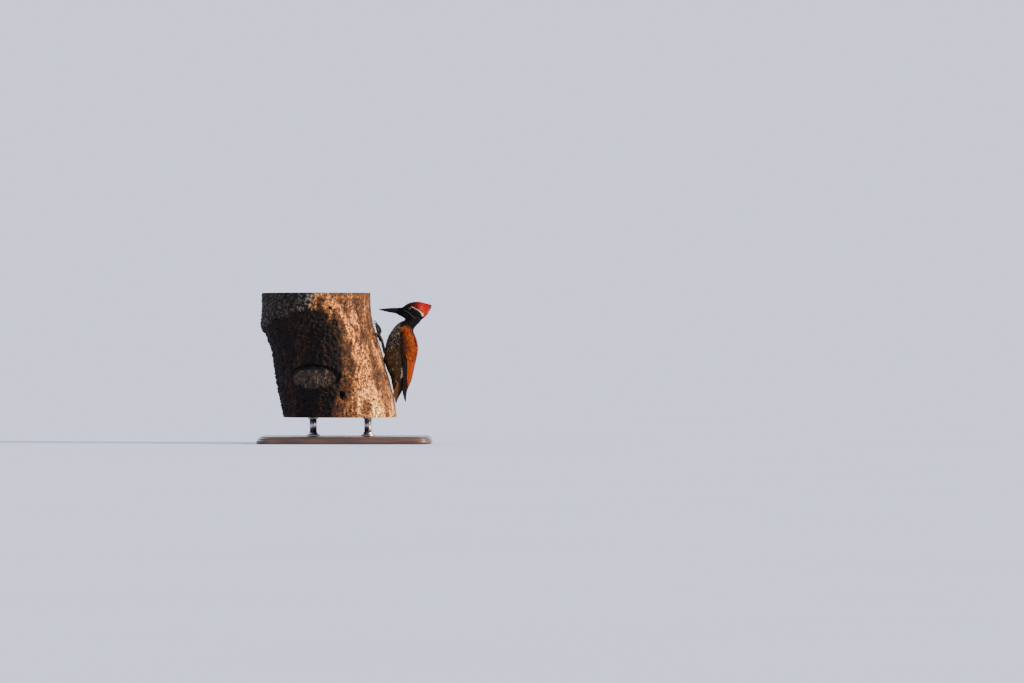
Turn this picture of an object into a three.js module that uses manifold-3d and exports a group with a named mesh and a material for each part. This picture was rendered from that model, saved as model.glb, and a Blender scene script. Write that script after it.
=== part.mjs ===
// A life-size flameback woodpecker clinging upright to a cut length of dead tree trunk, on a flat base with
// two rods. The bird looks along -X at the trunk, its back is towards +X and its left side towards -Y.
// Units are millimetres, +Z is up, and the origin is at the middle of the base's underside.
import * as THREE from "three";
import { mergeVertices } from "three/addons/utils/BufferGeometryUtils.js";
import Module from "manifold-3d";

const wasm = await Module();
wasm.setup();

// ---------------------------------------------------------------- driving sizes
const GAP = 0.3; // clearance left between pieces that meet
const SIDE = { left: -1, right: 1 }; // the bird's left side is towards -Y

const BASE = { length: 330, width: 240, height: 14, corner: 32 };
const ROD = { radius: 7, spread: 52, height: 36 };

// The trunk's lower cut, its length, and from bottom to top where its axis lies in X and its radius.
const PERCH = {
  bottom: BASE.height + ROD.height,
  height: 236,
  axisAndRadius: [
    [-8.5, 107.5],
    [-14, 108],
    [-21.2, 107],
    [-28.6, 105.4],
    [-36.4, 103.6],
    [-50.6, 107.1],
    [-52.5, 102.1],
    [-52.3, 101.7],
  ],
};

const EYE = { x: 122, z: 255.5, out: 9.9, radius: 3.7 };
const BILL = { tipX: 63.4, tipZ: 254.3, rootX: 100.2, rootZ: 252.2, slant: 30 }; // slant of the root in degrees
const COAT_BLACK = 0x17130f;
const COAT_ORANGE = 0xa8480f;

// ---------------------------------------------------------------- shapes
// A row of numbers between the rows of a table, at t from 0 to 1, on a Catmull-Rom spline.
function between(rows, t) {
  const at = Math.min(t, 1 - 1e-9) * (rows.length - 1);
  const i = Math.floor(at);
  const f = at - i;
  const row = (k) => rows[Math.max(0, Math.min(rows.length - 1, k))];
  return rows[0].map((_, c) => {
    const [a, b, d, e] = [row(i - 1)[c], row(i)[c], row(i + 1)[c], row(i + 2)[c]];
    return b + 0.5 * f * (d - a + f * (2 * a - 5 * b + 4 * d - e + f * (3 * (b - d) + e - a)));
  });
}

function signedVolume(points, index) {
  let sum = 0;
  for (let i = 0; i < index.length; i += 3) {
    const [a, b, c] = [points[index[i]], points[index[i + 1]], points[index[i + 2]]];
    sum += a.dot(new THREE.Vector3().crossVectors(b, c)) / 6;
  }
  return sum;
}

// A closed solid through rings of points, each ring with the same number of points, capped at both ends.
function loft(rings) {
  const sides = rings[0].length;
  const points = rings.flat();
  const index = [];
  for (let i = 0; i + 1 < rings.length; i++)
    for (let j = 0; j < sides; j++) {
      const [a, b] = [i * sides + j, i * sides + ((j + 1) % sides)];
      index.push(a, b, b + sides, a, b + sides, a + sides);
    }
  for (const [ring, turned] of [[0, true], [rings.length - 1, false]]) {
    const middle = new THREE.Vector3();
    rings[ring].forEach((p) => middle.addScaledVector(p, 1 / sides));
    points.push(middle);
    for (let j = 0; j < sides; j++) {
      const [a, b] = [ring * sides + j, ring * sides + ((j + 1) % sides)];
      index.push(...(turned ? [b, a, points.length - 1] : [a, b, points.length - 1]));
    }
  }
  if (signedVolume(points, index) < 0)
    for (let i = 0; i < index.length; i += 3) [index[i], index[i + 1]] = [index[i + 1], index[i]];
  const positions = new Float32Array(points.flatMap((p) => [p.x, p.y, p.z]));
  return solid(
    new THREE.BufferGeometry().setAttribute("position", new THREE.BufferAttribute(positions, 3)).setIndex(index),
  );
}

function solid(geometry) {
  const bare = geometry.clone();
  bare.deleteAttribute("normal");
  bare.deleteAttribute("uv");
  const merged = mergeVertices(bare, 1e-4);
  return new wasm.Manifold(
    new wasm.Mesh({
      numProp: 3,
      vertProperties: merged.attributes.position.array,
      triVerts: new Uint32Array(merged.index.array),
    }),
  );
}

// The biggest body of a solid, so that a cut leaves no crumbs.
function largest(made) {
  return made.decompose().sort((a, b) => b.volume() - a.volume())[0];
}

// A ring of an egg-shaped section in the plane of symmetry's frame: depth is the half size across the spine in
// the XZ plane, width the half size along Y, tilt the spine's lean towards +X in degrees.
function ring({ x, z, tilt = 0, depth, width, square = 1 }, sides) {
  const lean = THREE.MathUtils.degToRad(tilt);
  return Array.from({ length: sides }, (_, j) => {
    const angle = (2 * Math.PI * j) / sides;
    const [c, s] = [Math.cos(angle), Math.sin(angle)].map((v) => Math.sign(v) * Math.abs(v) ** square);
    return new THREE.Vector3(x + depth * c * Math.cos(lean), width * s, z - depth * c * Math.sin(lean));
  });
}

// A loft through a table of sections, [x, z, tilt, depth, width], drawn as many finer rings.
function body(table, steps, sides, square = 1) {
  return loft(
    Array.from({ length: steps + 1 }, (_, i) => {
      const [x, z, tilt, depth, width] = between(table, i / steps);
      return ring({ x, z, tilt, depth, width, square }, sides);
    }),
  );
}

// A tube along points, its radius going through the list of radii.
function tube(points, radii, steps, sides) {
  const curve = new THREE.CatmullRomCurve3(points);
  const frames = curve.computeFrenetFrames(steps, false);
  return loft(
    Array.from({ length: steps + 1 }, (_, i) => {
      const [radius] = between(radii.map((r) => [r]), i / steps);
      return Array.from({ length: sides }, (__, j) => {
        const angle = (2 * Math.PI * j) / sides;
        return curve
          .getPoint(i / steps)
          .addScaledVector(frames.normals[i], radius * Math.cos(angle))
          .addScaledVector(frames.binormals[i], radius * Math.sin(angle));
      });
    }),
  );
}

// A wide slab, thick by the gap, that parts a body at (x, z) across a spine of that tilt.
function partingSlab(x, z, tilt, size = 120, thickness = GAP) {
  const slab = new THREE.BoxGeometry(size, size, thickness);
  slab.rotateY(THREE.MathUtils.degToRad(tilt));
  slab.translate(x, 0, z);
  return solid(slab);
}

const group = new THREE.Group();
group.name = "woodpecker_on_perch";
function add(name, made, color, roughness = 0.8, metalness = 0) {
  const mesh3 = made.getMesh();
  const geometry = new THREE.BufferGeometry();
  geometry.setAttribute("position", new THREE.BufferAttribute(mesh3.vertProperties, 3));
  geometry.setIndex(new THREE.BufferAttribute(mesh3.triVerts, 1));
  geometry.computeVertexNormals();
  const mesh = new THREE.Mesh(geometry, new THREE.MeshStandardMaterial({ color, roughness, metalness }));
  mesh.name = name;
  group.add(mesh);
}

// ---------------------------------------------------------------- display stand
function roundedPlate({ length, width, height, corner }) {
  const [x, y] = [length / 2, width / 2];
  const outline = new THREE.Shape();
  outline.moveTo(-x + corner, -y);
  outline.lineTo(x - corner, -y);
  outline.absarc(x - corner, -y + corner, corner, -Math.PI / 2, 0);
  outline.lineTo(x, y - corner);
  outline.absarc(x - corner, y - corner, corner, 0, Math.PI / 2);
  outline.lineTo(-x + corner, y);
  outline.absarc(-x + corner, y - corner, corner, Math.PI / 2, Math.PI);
  outline.lineTo(-x, -y + corner);
  outline.absarc(-x + corner, -y + corner, corner, Math.PI, 1.5 * Math.PI);
  return solid(new THREE.ExtrudeGeometry(outline, { depth: height, bevelEnabled: false, curveSegments: 8 }));
}

function standRod(x) {
  const rod = new THREE.CylinderGeometry(ROD.radius, ROD.radius, ROD.height - 2 * GAP, 24);
  rod.rotateX(Math.PI / 2);
  rod.translate(x, 0, BASE.height + ROD.height / 2);
  return solid(rod);
}

add("stand_base", roundedPlate(BASE), 0x2b2622, 0.5);
const [[perchFootX]] = PERCH.axisAndRadius;
add("stand_rod_front", standRod(perchFootX - ROD.spread), 0x8d8f92, 0.35, 0.9);
add("stand_rod_back", standRod(perchFootX + ROD.spread), 0x8d8f92, 0.35, 0.9);

// ---------------------------------------------------------------- the perch, a cut length of trunk
// The trunk's axis and radius at a height above the floor.
function trunkAt(z) {
  const [x, radius] = between(PERCH.axisAndRadius, (z - PERCH.bottom) / PERCH.height);
  return { x, radius };
}

function barkLumps(angle, z) {
  const up = (z - PERCH.bottom) / PERCH.height;
  const lumps =
    1.6 * Math.sin(3 * angle + 2.2 * up + 2.6) + 1.1 * Math.sin(5 * angle - 7 * up) + 0.8 * Math.sin(9 * up + 4 * angle);
  const facing = 0.5 + 0.5 * Math.cos(angle); // 1 on the bird's side, which stays smooth
  return lumps * (1 - 0.85 * facing ** 4);
}

// A point on the bark, or lift millimetres off it. Angle 0 faces the bird.
function onBark(degrees, z, lift = 0) {
  const angle = THREE.MathUtils.degToRad(degrees);
  const trunk = trunkAt(z);
  const radius = trunk.radius + barkLumps(angle, z) + lift;
  return new THREE.Vector3(trunk.x + radius * Math.cos(angle), radius * Math.sin(angle), z);
}

const [BARK_SIDES, BARK_STEPS] = [42, 11];
function trunk(room = 0) {
  return loft(
    Array.from({ length: BARK_STEPS + 1 }, (_, i) =>
      Array.from({ length: BARK_SIDES }, (__, j) =>
        onBark((360 * j) / BARK_SIDES, PERCH.bottom + (PERCH.height * i) / BARK_STEPS, room),
      ),
    ),
  );
}
const trunkRoom = trunk(GAP);
add("perch_trunk", trunk(), 0x9a7650, 0.9);

// ---------------------------------------------------------------- flesh and coat, as one form
// Sections from the tips of the undertail coverts up through belly, breast and neck into the head:
// x, z, tilt, half depth, half width.
const TORSO = [
  [95.2, 95, -6, 2.2, 3],
  [98.6, 107, -6, 8.2, 8.6],
  [102.1, 120, -5, 13.5, 14],
  [104.9, 131.5, -3, 18.3, 18.8],
  [105, 142, -2, 23.6, 22.6],
  [105.4, 152, -1, 28.2, 25.6],
  [105.4, 163, 0, 31.2, 27.6],
  [107.5, 178, 0, 31.9, 28.8],
  [108.4, 191.5, 3, 30.4, 28],
  [109.2, 204.2, 5, 26.3, 25.4],
  [111.1, 213.4, 11.4, 21.2, 21.8],
  [113.7, 220, 17.6, 17.8, 18.4],
  [117.7, 224.4, 22, 15.5, 15.6],
  [123, 229.2, 12, 15.3, 14],
  [129.8, 234.6, 2, 16.1, 13.2],
  [131.2, 242, 0, 14.4, 12],
];

// Sections across the skull from the bill's root to the nape: x, middle z, tilt, half height, half width. A
// tilt of -90 stands them upright.
const UPRIGHT = -90;
const SKULL = [
  [BILL.rootX, BILL.rootZ, UPRIGHT + BILL.slant, 6.3, 5.8],
  [105, 251, UPRIGHT + 24, 8.3, 7.6],
  [110.5, 251.5, UPRIGHT + 15, 11.1, 10],
  [116.5, 250.7, UPRIGHT + 6, 14.9, 12.1],
  [123.5, 250.8, UPRIGHT, 17.2, 13.3],
  [131, 251.1, UPRIGHT, 18.5, 13.7],
  [138.5, 251, UPRIGHT, 17.7, 12.7],
  [145, 250.3, UPRIGHT, 14.9, 10],
  [150, 249.4, UPRIGHT, 10.7, 6.2],
];

// The crest, a wedge swept back from the crown.
const CREST = [
  [120, 260.9, UPRIGHT, 5.4, 8.4],
  [130, 260.2, UPRIGHT, 9.3, 9.4],
  [140, 257.3, UPRIGHT, 12.9, 8.4],
  [148.5, 253.5, UPRIGHT, 14.9, 6.2],
  [155.5, 255.1, UPRIGHT, 11.5, 4],
  [161, 259.2, UPRIGHT, 6, 2.4],
  [165, 262, UPRIGHT, 1.2, 0.9],
];

const torsoAndNeck = body(TORSO, 20, 20, 0.94);
const skull = body(SKULL, 13, 20, 0.92);
const crest = body(CREST, 10, 14, 0.95);
const wholeBird = torsoAndNeck.add(skull).add(crest);

// ---------------------------------------------------------------- bill
// One mandible, as a half section that tapers from the slanted root to the tip. The two meet along the cutting
// edge, and both stop short of the face.
function mandible({ up, depth, taper, tipX }) {
  const steps = 8;
  const half = 6; // points from one cutting edge over the ridge to the other
  const slant = Math.tan(THREE.MathUtils.degToRad(BILL.slant));
  const rings = [];
  for (let i = 0; i <= steps; i++) {
    const along = i / steps; // 0 at the root, 1 at the tip
    const x = THREE.MathUtils.lerp(BILL.rootX - 0.45, tipX, along);
    const edgeZ = THREE.MathUtils.lerp(BILL.rootZ, BILL.tipZ, along);
    const height = depth * (1 - along ** taper) + 0.6;
    const width = THREE.MathUtils.lerp(5.2, 0.9, along ** 0.8);
    const points = [];
    for (let j = 0; j <= half; j++) {
      const angle = (Math.PI * j) / half;
      const ridge = Math.sin(angle) ** 1.15; // a keeled ridge rather than a round one
      const rise = up * (GAP / 2 + ridge * height);
      points.push(new THREE.Vector3(x + rise * slant * (1 - along), width * Math.cos(angle), edgeZ + rise));
    }
    rings.push(points);
  }
  return loft(rings);
}
add("bill_upper", mandible({ up: 1, depth: 4.7, taper: 1.9, tipX: BILL.tipX }), 0x2e2e30, 0.45);
add("bill_lower", mandible({ up: -1, depth: 4.4, taper: 1.7, tipX: BILL.tipX + 1.6 }), 0x2e2e30, 0.45);

// ---------------------------------------------------------------- eyes
function eyeball(side, radius) {
  const ball = new THREE.SphereGeometry(radius, 12, 8);
  ball.translate(EYE.x, side * EYE.out, EYE.z);
  return solid(ball);
}
const eyeRoom = eyeball(SIDE.left, EYE.radius + GAP).add(eyeball(SIDE.right, EYE.radius + GAP));
for (const [name, side] of Object.entries(SIDE)) add(`eye_${name}`, eyeball(side, EYE.radius), 0x120a08, 0.1);

// ---------------------------------------------------------------- wings
// The folded wing wraps the body as a curved plate. Each section is a stretch of an ellipse round the body:
// z, ellipse's middle x, half size along X, half size along Y, angle of the hind edge, angle of the front edge,
// thickness. Angles are in degrees from +X towards the bird's side.
const WING = [
  [223.6, 114.5, 8, 14, 76, 96, 1.6],
  [217, 113.8, 16.5, 20, 56, 99, 2.8],
  [208, 111.6, 24.2, 25.9, 42, 97, 3.2],
  [195, 109, 30.8, 30.3, 30, 93, 3.2],
  [180, 107.6, 33.3, 32, 20, 90, 3.2],
  [163, 106.4, 30.8, 30.7, 10, 84, 3],
  [147, 104.8, 28.9, 27.5, 4.5, 79, 2.7],
  [131, 103.4, 26.8, 23.3, 3, 73, 2.4],
  [115, 102, 24, 19, 3, 66, 2],
  [101, 101, 18.4, 15.4, 4, 65, 1.7],
  [88, 100.4, 17.3, 12.8, 9, 50, 1.3],
  [77, 100.4, 16.6, 11.4, 17, 37, 0.8],
];
const [WING_STEPS, WING_ACROSS] = [17, 7];

function wing(side, inside = 0, outside = 0) {
  const rings = [];
  for (let i = 0; i <= WING_STEPS; i++) {
    const [z, x, halfX, halfY, hind, front, thick] = between(WING, i / WING_STEPS);
    const spread = THREE.MathUtils.radToDeg(inside / halfY); // room past each edge
    const at = (k, depth) => {
      const angle = THREE.MathUtils.degToRad(THREE.MathUtils.lerp(hind - spread, front + spread, k / WING_ACROSS));
      return new THREE.Vector3(x + (halfX - depth) * Math.cos(angle), side * (halfY - depth) * Math.sin(angle), z);
    };
    const outer = Array.from({ length: WING_ACROSS + 1 }, (_, k) => at(k, -outside));
    const inner = Array.from({ length: WING_ACROSS + 1 }, (_, k) => at(WING_ACROSS - k, thick + inside));
    rings.push([...outer, ...inner]);
  }
  if (inside) {
    rings[0].forEach((p) => (p.z += inside));
    rings.at(-1).forEach((p) => (p.z -= inside));
  }
  return loft(rings);
}
const WING_BAY = 12; // how far out the torso is cleared where a wing covers it
const wingRoom = wing(SIDE.left, GAP, WING_BAY).add(wing(SIDE.right, GAP, WING_BAY));
for (const [name, side] of Object.entries(SIDE)) add(`wing_${name}`, wing(side), COAT_ORANGE);

// ---------------------------------------------------------------- tail
// The tail is a fan bowed towards the trunk, its tips braced against the bark: x and z of its back, how far its
// edges bow forward, half width, thickness.
const TAIL = [
  [120.5, 136, 0.9, 9, 3],
  [116.6, 123, 8.5, 13.5, 2.8],
  [112.4, 109, 12, 17, 2.4],
  [106.9, 96, 13.8, 17.4, 2],
  [100.9, 85, 5.4, 12, 1.6],
  [96.9, 74, 0.3, 2.8, 0.9],
];
const [TAIL_STEPS, TAIL_ACROSS] = [12, 8];

function tail(room = 0) {
  const rings = [];
  for (let i = 0; i <= TAIL_STEPS; i++) {
    const [x, z, bow, width, thick] = between(TAIL, i / TAIL_STEPS);
    const at = (k, depth) => {
      const v = ((2 * k) / TAIL_ACROSS - 1) * (1 + room / width);
      return new THREE.Vector3(x - bow * v * v - 0.93 * depth, width * v, z + 0.38 * depth);
    };
    const back = Array.from({ length: TAIL_ACROSS + 1 }, (_, k) => at(k, -room));
    const front = Array.from({ length: TAIL_ACROSS + 1 }, (_, k) => at(TAIL_ACROSS - k, thick + room));
    rings.push([...back, ...front]);
  }
  if (room) {
    rings[0].forEach((p) => (p.z += room));
  }
  return loft(rings);
}

// ---------------------------------------------------------------- legs
// Each foot grips the bark with two arched toes up, one out to the side and a small one behind. apart is the
// angle of a foot round the trunk.
const LEG = {
  apart: 7.5,
  footZ: 207,
  heel: { x: 76, y: 14.5, z: 171 },
  knee: { x: 95, y: 18.5, z: 184 },
  toeRadius: 1.8,
};
// How much lower each foot stands, and its toes' share of the arch. The right foot lies flatter on the bark.
const STANCE = { left: { lower: 0, arch: 1 }, right: { lower: 4, arch: 0.6 } };

// name, angle at the toe's tip from the foot's own, its climb above the foot, its arch off the bark, and the
// claw's reach beyond the toe
const TOES = [
  ["middle", 1.5, 19, 10.3, 7],
  ["inner", -4.5, 15, 4, 6],
  ["outer", 9, 1.5, 3.6, 5.5],
  ["hind", -4.5, -7, 2, 4.2],
];

const FOOT_REACH = 106; // from the trunk's axis to a foot

// A point lifted off the bark, some share of a toe's length and some extra millimetres along from the foot.
function alongToe(side, footZ, [, angle, climb], share, extra, lift) {
  const length = Math.hypot(climb, FOOT_REACH * THREE.MathUtils.degToRad(angle));
  const reach = share + extra / length;
  return onBark(side * (LEG.apart + angle * reach), footZ + climb * reach, lift);
}

function toePath(side, footZ, toe) {
  const at = (share, lift) => alongToe(side, footZ, toe, share, 0, LEG.toeRadius + GAP + lift);
  const arch = toe[3];
  return [at(0, 2), at(0.3, 0.85 * arch), at(0.7, arch * 0.88), at(1, arch * 0.62)];
}

function clawPath(side, footZ, toe) {
  const [, , , arch, hook] = toe;
  const root = LEG.toeRadius + GAP + arch * 0.62;
  const at = (share, lift) => alongToe(side, footZ, toe, 1, hook * share, lift);
  return [at(0.18, root), at(0.7, root * 0.88), at(1, root * 0.5), at(1 - 0.03 * arch, 0.8)];
}

function thigh(side, room = 0) {
  const { heel, knee } = LEG;
  const place = (t) =>
    new THREE.Vector3(
      THREE.MathUtils.lerp(knee.x, heel.x + 2.6, t),
      side * THREE.MathUtils.lerp(knee.y, heel.y, t),
      THREE.MathUtils.lerp(knee.z, heel.z + 0.8, t),
    );
  const past = room / 30; // the room reaches past both ends too
  return tube([place(-past), place(0.5), place(1 + past)], [8, 8.5, 3].map((r) => r + room), 6, 12);
}

for (const [name, side] of Object.entries(SIDE)) {
  const { lower, arch } = STANCE[name];
  const footZ = LEG.footZ - lower;
  const { heel } = LEG;
  const ankle = onBark(side * LEG.apart, footZ, LEG.toeRadius + GAP + 2);
  const shank = [
    new THREE.Vector3(heel.x, side * heel.y, heel.z),
    new THREE.Vector3(73.8, side * heel.y, 180),
    new THREE.Vector3(71.3, side * heel.y, 191 - 0.4 * lower),
    onBark(side * LEG.apart, footZ - 6, 7.2),
    ankle,
  ];
  let leg = tube(shank, [2.3, 2.1, 2.1, 2.3, 2.3], 8, 8);
  const clawRooms = [];
  for (const [toeName, angle, climb, full, hook] of TOES) {
    const toe = [toeName, angle, climb, full * arch, hook];
    const thin = toeName === "hind" ? 0.8 : 1;
    leg = leg.add(tube(toePath(side, footZ, toe), [2, 1.8, 1.75, 1.4].map((r) => r * thin), 5, 6));
    const claw = clawPath(side, footZ, toe);
    const radii = [1.15, 1, 0.75, 0.38].map((r) => r * thin);
    clawRooms.push(tube(claw, radii.map((r) => r + GAP), 5, 6));
    add(`claw_${name}_${toeName}`, tube(claw, radii, 5, 6), 0x3a332c, 0.4);
  }
  const parted = [...clawRooms, thigh(side, GAP), trunkRoom].reduce((made, room) => made.subtract(room), leg);
  add(`leg_${name}`, largest(parted), 0x4b463f, 0.7);
}

// ---------------------------------------------------------------- parting the body
const rooms = [eyeRoom, wingRoom, tail(3 * GAP), thigh(SIDE.left, GAP), thigh(SIDE.right, GAP), trunkRoom];
const CUT = {
  headNeck: partingSlab(130, 235.6, 0),
  neckTorso: partingSlab(118, 222, 28, 60),
  headCrest: partingSlab(144, 254, 60, 60),
};
const parted = Object.values(CUT).reduce(
  (made, slab) => made.subtract(slab),
  rooms.reduce((made, room) => made.subtract(room), wholeBird),
);
// The parts from the top: each is known by where its middle lies.
const pieces = parted.decompose().sort((a, b) => b.volume() - a.volume());
const names = [
  ["torso", 0x3a332c],
  ["head", 0x1a1512],
  ["neck", COAT_BLACK],
  ["crest", 0xb01a14],
];
names.forEach(([name, color], i) => add(name, pieces[i], color));
add("tail", tail(), COAT_BLACK);
for (const [name, side] of Object.entries(SIDE)) add(`thigh_${name}`, thigh(side), 0x2f2a24);

export default group;
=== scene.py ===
"""A still, life-size male flameback woodpecker clinging to a cut length of dead trunk on a display stand.

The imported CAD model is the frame. One skin replaces its flesh, feathers are laid over the skin, and the bill,
eyes, feet, trunk and stand are finished as pieces of their own. Sizes are in millimetres until a mesh is
made, and in metres in the materials.
The bird faces -X, its back is towards +X, and its left side is towards -Y, where the camera stands.
"""
import math

import bmesh
import bpy
import numpy as np
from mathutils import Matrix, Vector, noise
from mathutils.bvhtree import BVHTree


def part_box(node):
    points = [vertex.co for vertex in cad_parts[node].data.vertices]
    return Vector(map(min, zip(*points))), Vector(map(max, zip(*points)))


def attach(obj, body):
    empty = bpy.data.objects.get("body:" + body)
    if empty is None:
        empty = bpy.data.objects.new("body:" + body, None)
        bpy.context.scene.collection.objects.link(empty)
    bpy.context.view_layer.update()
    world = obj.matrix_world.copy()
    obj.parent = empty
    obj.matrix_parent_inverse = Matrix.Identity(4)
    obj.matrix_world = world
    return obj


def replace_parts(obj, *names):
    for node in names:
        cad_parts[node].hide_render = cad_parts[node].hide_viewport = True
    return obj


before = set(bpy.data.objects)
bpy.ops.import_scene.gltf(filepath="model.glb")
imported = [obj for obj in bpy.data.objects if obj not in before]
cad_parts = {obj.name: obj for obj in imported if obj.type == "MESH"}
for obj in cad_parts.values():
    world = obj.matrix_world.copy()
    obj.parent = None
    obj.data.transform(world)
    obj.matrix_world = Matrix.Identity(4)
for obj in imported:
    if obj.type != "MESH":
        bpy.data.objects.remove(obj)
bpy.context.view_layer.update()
MM = 0.001
SIDES = {"left": -1, "right": 1}
FLESH = ("torso", "neck", "head", "crest", "thigh_left", "thigh_right")
WINGS = ("wing_left", "wing_right")


# ---------------------------------------------------------------- small helpers
def unit(v):
    return v / np.maximum(np.linalg.norm(v, axis=-1, keepdims=True), 1e-9)


def smoothstep(low, high, x):
    t = np.clip((x - low) / (high - low), 0, 1)
    return t * t * (3 - 2 * t)


def mix(a, b, t):
    return a + (b - a) * np.asarray(t)[..., None]


def bell(x, middle, width):
    """1 at the middle, falling away smoothly on both sides."""
    return np.exp(-(((x - middle) / width) ** 2))


def circle(count):
    """Angles evenly round a circle."""
    return np.linspace(0, 2 * math.pi, count, endpoint=False)


def bearing(degrees, side=1):
    """The level direction at an angle round from +X, on the side of +Y, or of -Y where side is -1."""
    turn = math.radians(degrees)
    return np.array((math.cos(turn), side * math.sin(turn), 0))


def points_between(at, order, points):
    """Points read between some points, which lie at the places in order."""
    return np.stack([np.interp(at, order, points[:, k]) for k in range(3)], axis=1)


def box_of(node):
    """The two corners of a CAD node's box, in millimetres."""
    return [np.array(corner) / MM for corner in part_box(node)]


def cad_arrays(*nodes):
    """The vertices, in millimetres, and the triangles of some CAD nodes, joined."""
    verts, tris, base = [], [], 0
    for node in nodes:
        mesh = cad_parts[node].data
        co = np.empty(len(mesh.vertices) * 3)
        mesh.vertices.foreach_get("co", co)
        mesh.calc_loop_triangles()
        tri = np.empty(len(mesh.loop_triangles) * 3, dtype=np.int64)
        mesh.loop_triangles.foreach_get("vertices", tri)
        verts.append(co.reshape(-1, 3) / MM)
        tris.append(tri.reshape(-1, 3) + base)
        base += len(mesh.vertices)
    return np.concatenate(verts), np.concatenate(tris)


def tree_of(verts, faces):
    return BVHTree.FromPolygons(verts.tolist(), faces.tolist())


def cad_tree(*nodes):
    return tree_of(*cad_arrays(*nodes))


def nearest(tree, points):
    """For each point, the nearest place on a surface and the surface's normal there."""
    found = [tree.find_nearest(Vector(p)) for p in points]
    return np.array([f[0] for f in found]), np.array([f[1] for f in found])


def hit(tree, origin, direction):
    """Where a line from the origin meets a surface, or None."""
    place = tree.ray_cast(Vector(origin), Vector(direction))[0]
    return None if place is None else np.array(place)


def fractal(points, scale, octaves=4, seed=0.0):
    """Fractal noise from about -1 to 1 at each point."""
    shift = Vector((seed, 2.3 * seed, -1.7 * seed))
    places = (Vector(p) / scale + shift for p in points)
    return np.array([noise.fractal(p, 1.0, 2.0, octaves, noise_basis="PERLIN_ORIGINAL") for p in places])


def add_object(name, data):
    obj = bpy.data.objects.new(name, data)
    bpy.context.scene.collection.objects.link(obj)
    return obj


def make_object(name, verts, faces, material, rim=None):
    """A smooth mesh object from millimetre vertices, riding on the model's one body.

    The faces are one array, or a list of faces of any number of corners. Edges whose ends both lie on the rim
    are kept sharp.
    """
    mesh = bpy.data.meshes.new(name)
    if isinstance(faces, np.ndarray):
        count, corners = faces.shape
        mesh.vertices.add(len(verts))
        mesh.vertices.foreach_set("co", (verts * MM).ravel())
        mesh.loops.add(faces.size)
        mesh.loops.foreach_set("vertex_index", faces.ravel())
        mesh.polygons.add(count)
        mesh.polygons.foreach_set("loop_start", np.arange(0, faces.size, corners))
        mesh.update(calc_edges=True)
    else:
        mesh.from_pydata((np.asarray(verts) * MM).tolist(), [], faces)
    mesh.polygons.foreach_set("use_smooth", np.ones(len(mesh.polygons), dtype=bool))
    if rim is not None:
        ends = np.empty(len(mesh.edges) * 2, dtype=np.int64)
        mesh.edges.foreach_get("vertices", ends)
        sharp = mesh.attributes.new("sharp_edge", "BOOLEAN", "EDGE")
        sharp.data.foreach_set("value", rim[ends.reshape(-1, 2)].all(axis=1))
    mesh.materials.append(material)
    obj = add_object(name, mesh)
    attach(obj, "root")
    return obj


def paint(obj, name, colours):
    """Stores one colour a vertex."""
    rgba = np.ones((len(obj.data.vertices), 4))
    rgba[:, :3] = colours
    obj.data.color_attributes.new(name, "FLOAT_COLOR", "POINT").data.foreach_set("color", rgba.ravel())


def lay_uv(obj, name, uv):
    """Stores a UV map from one pair a vertex."""
    mesh = obj.data
    index = np.empty(len(mesh.loops), dtype=np.int64)
    mesh.loops.foreach_get("vertex_index", index)
    mesh.uv_layers.new(name=name).data.foreach_set("uv", uv[index].ravel())


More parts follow.
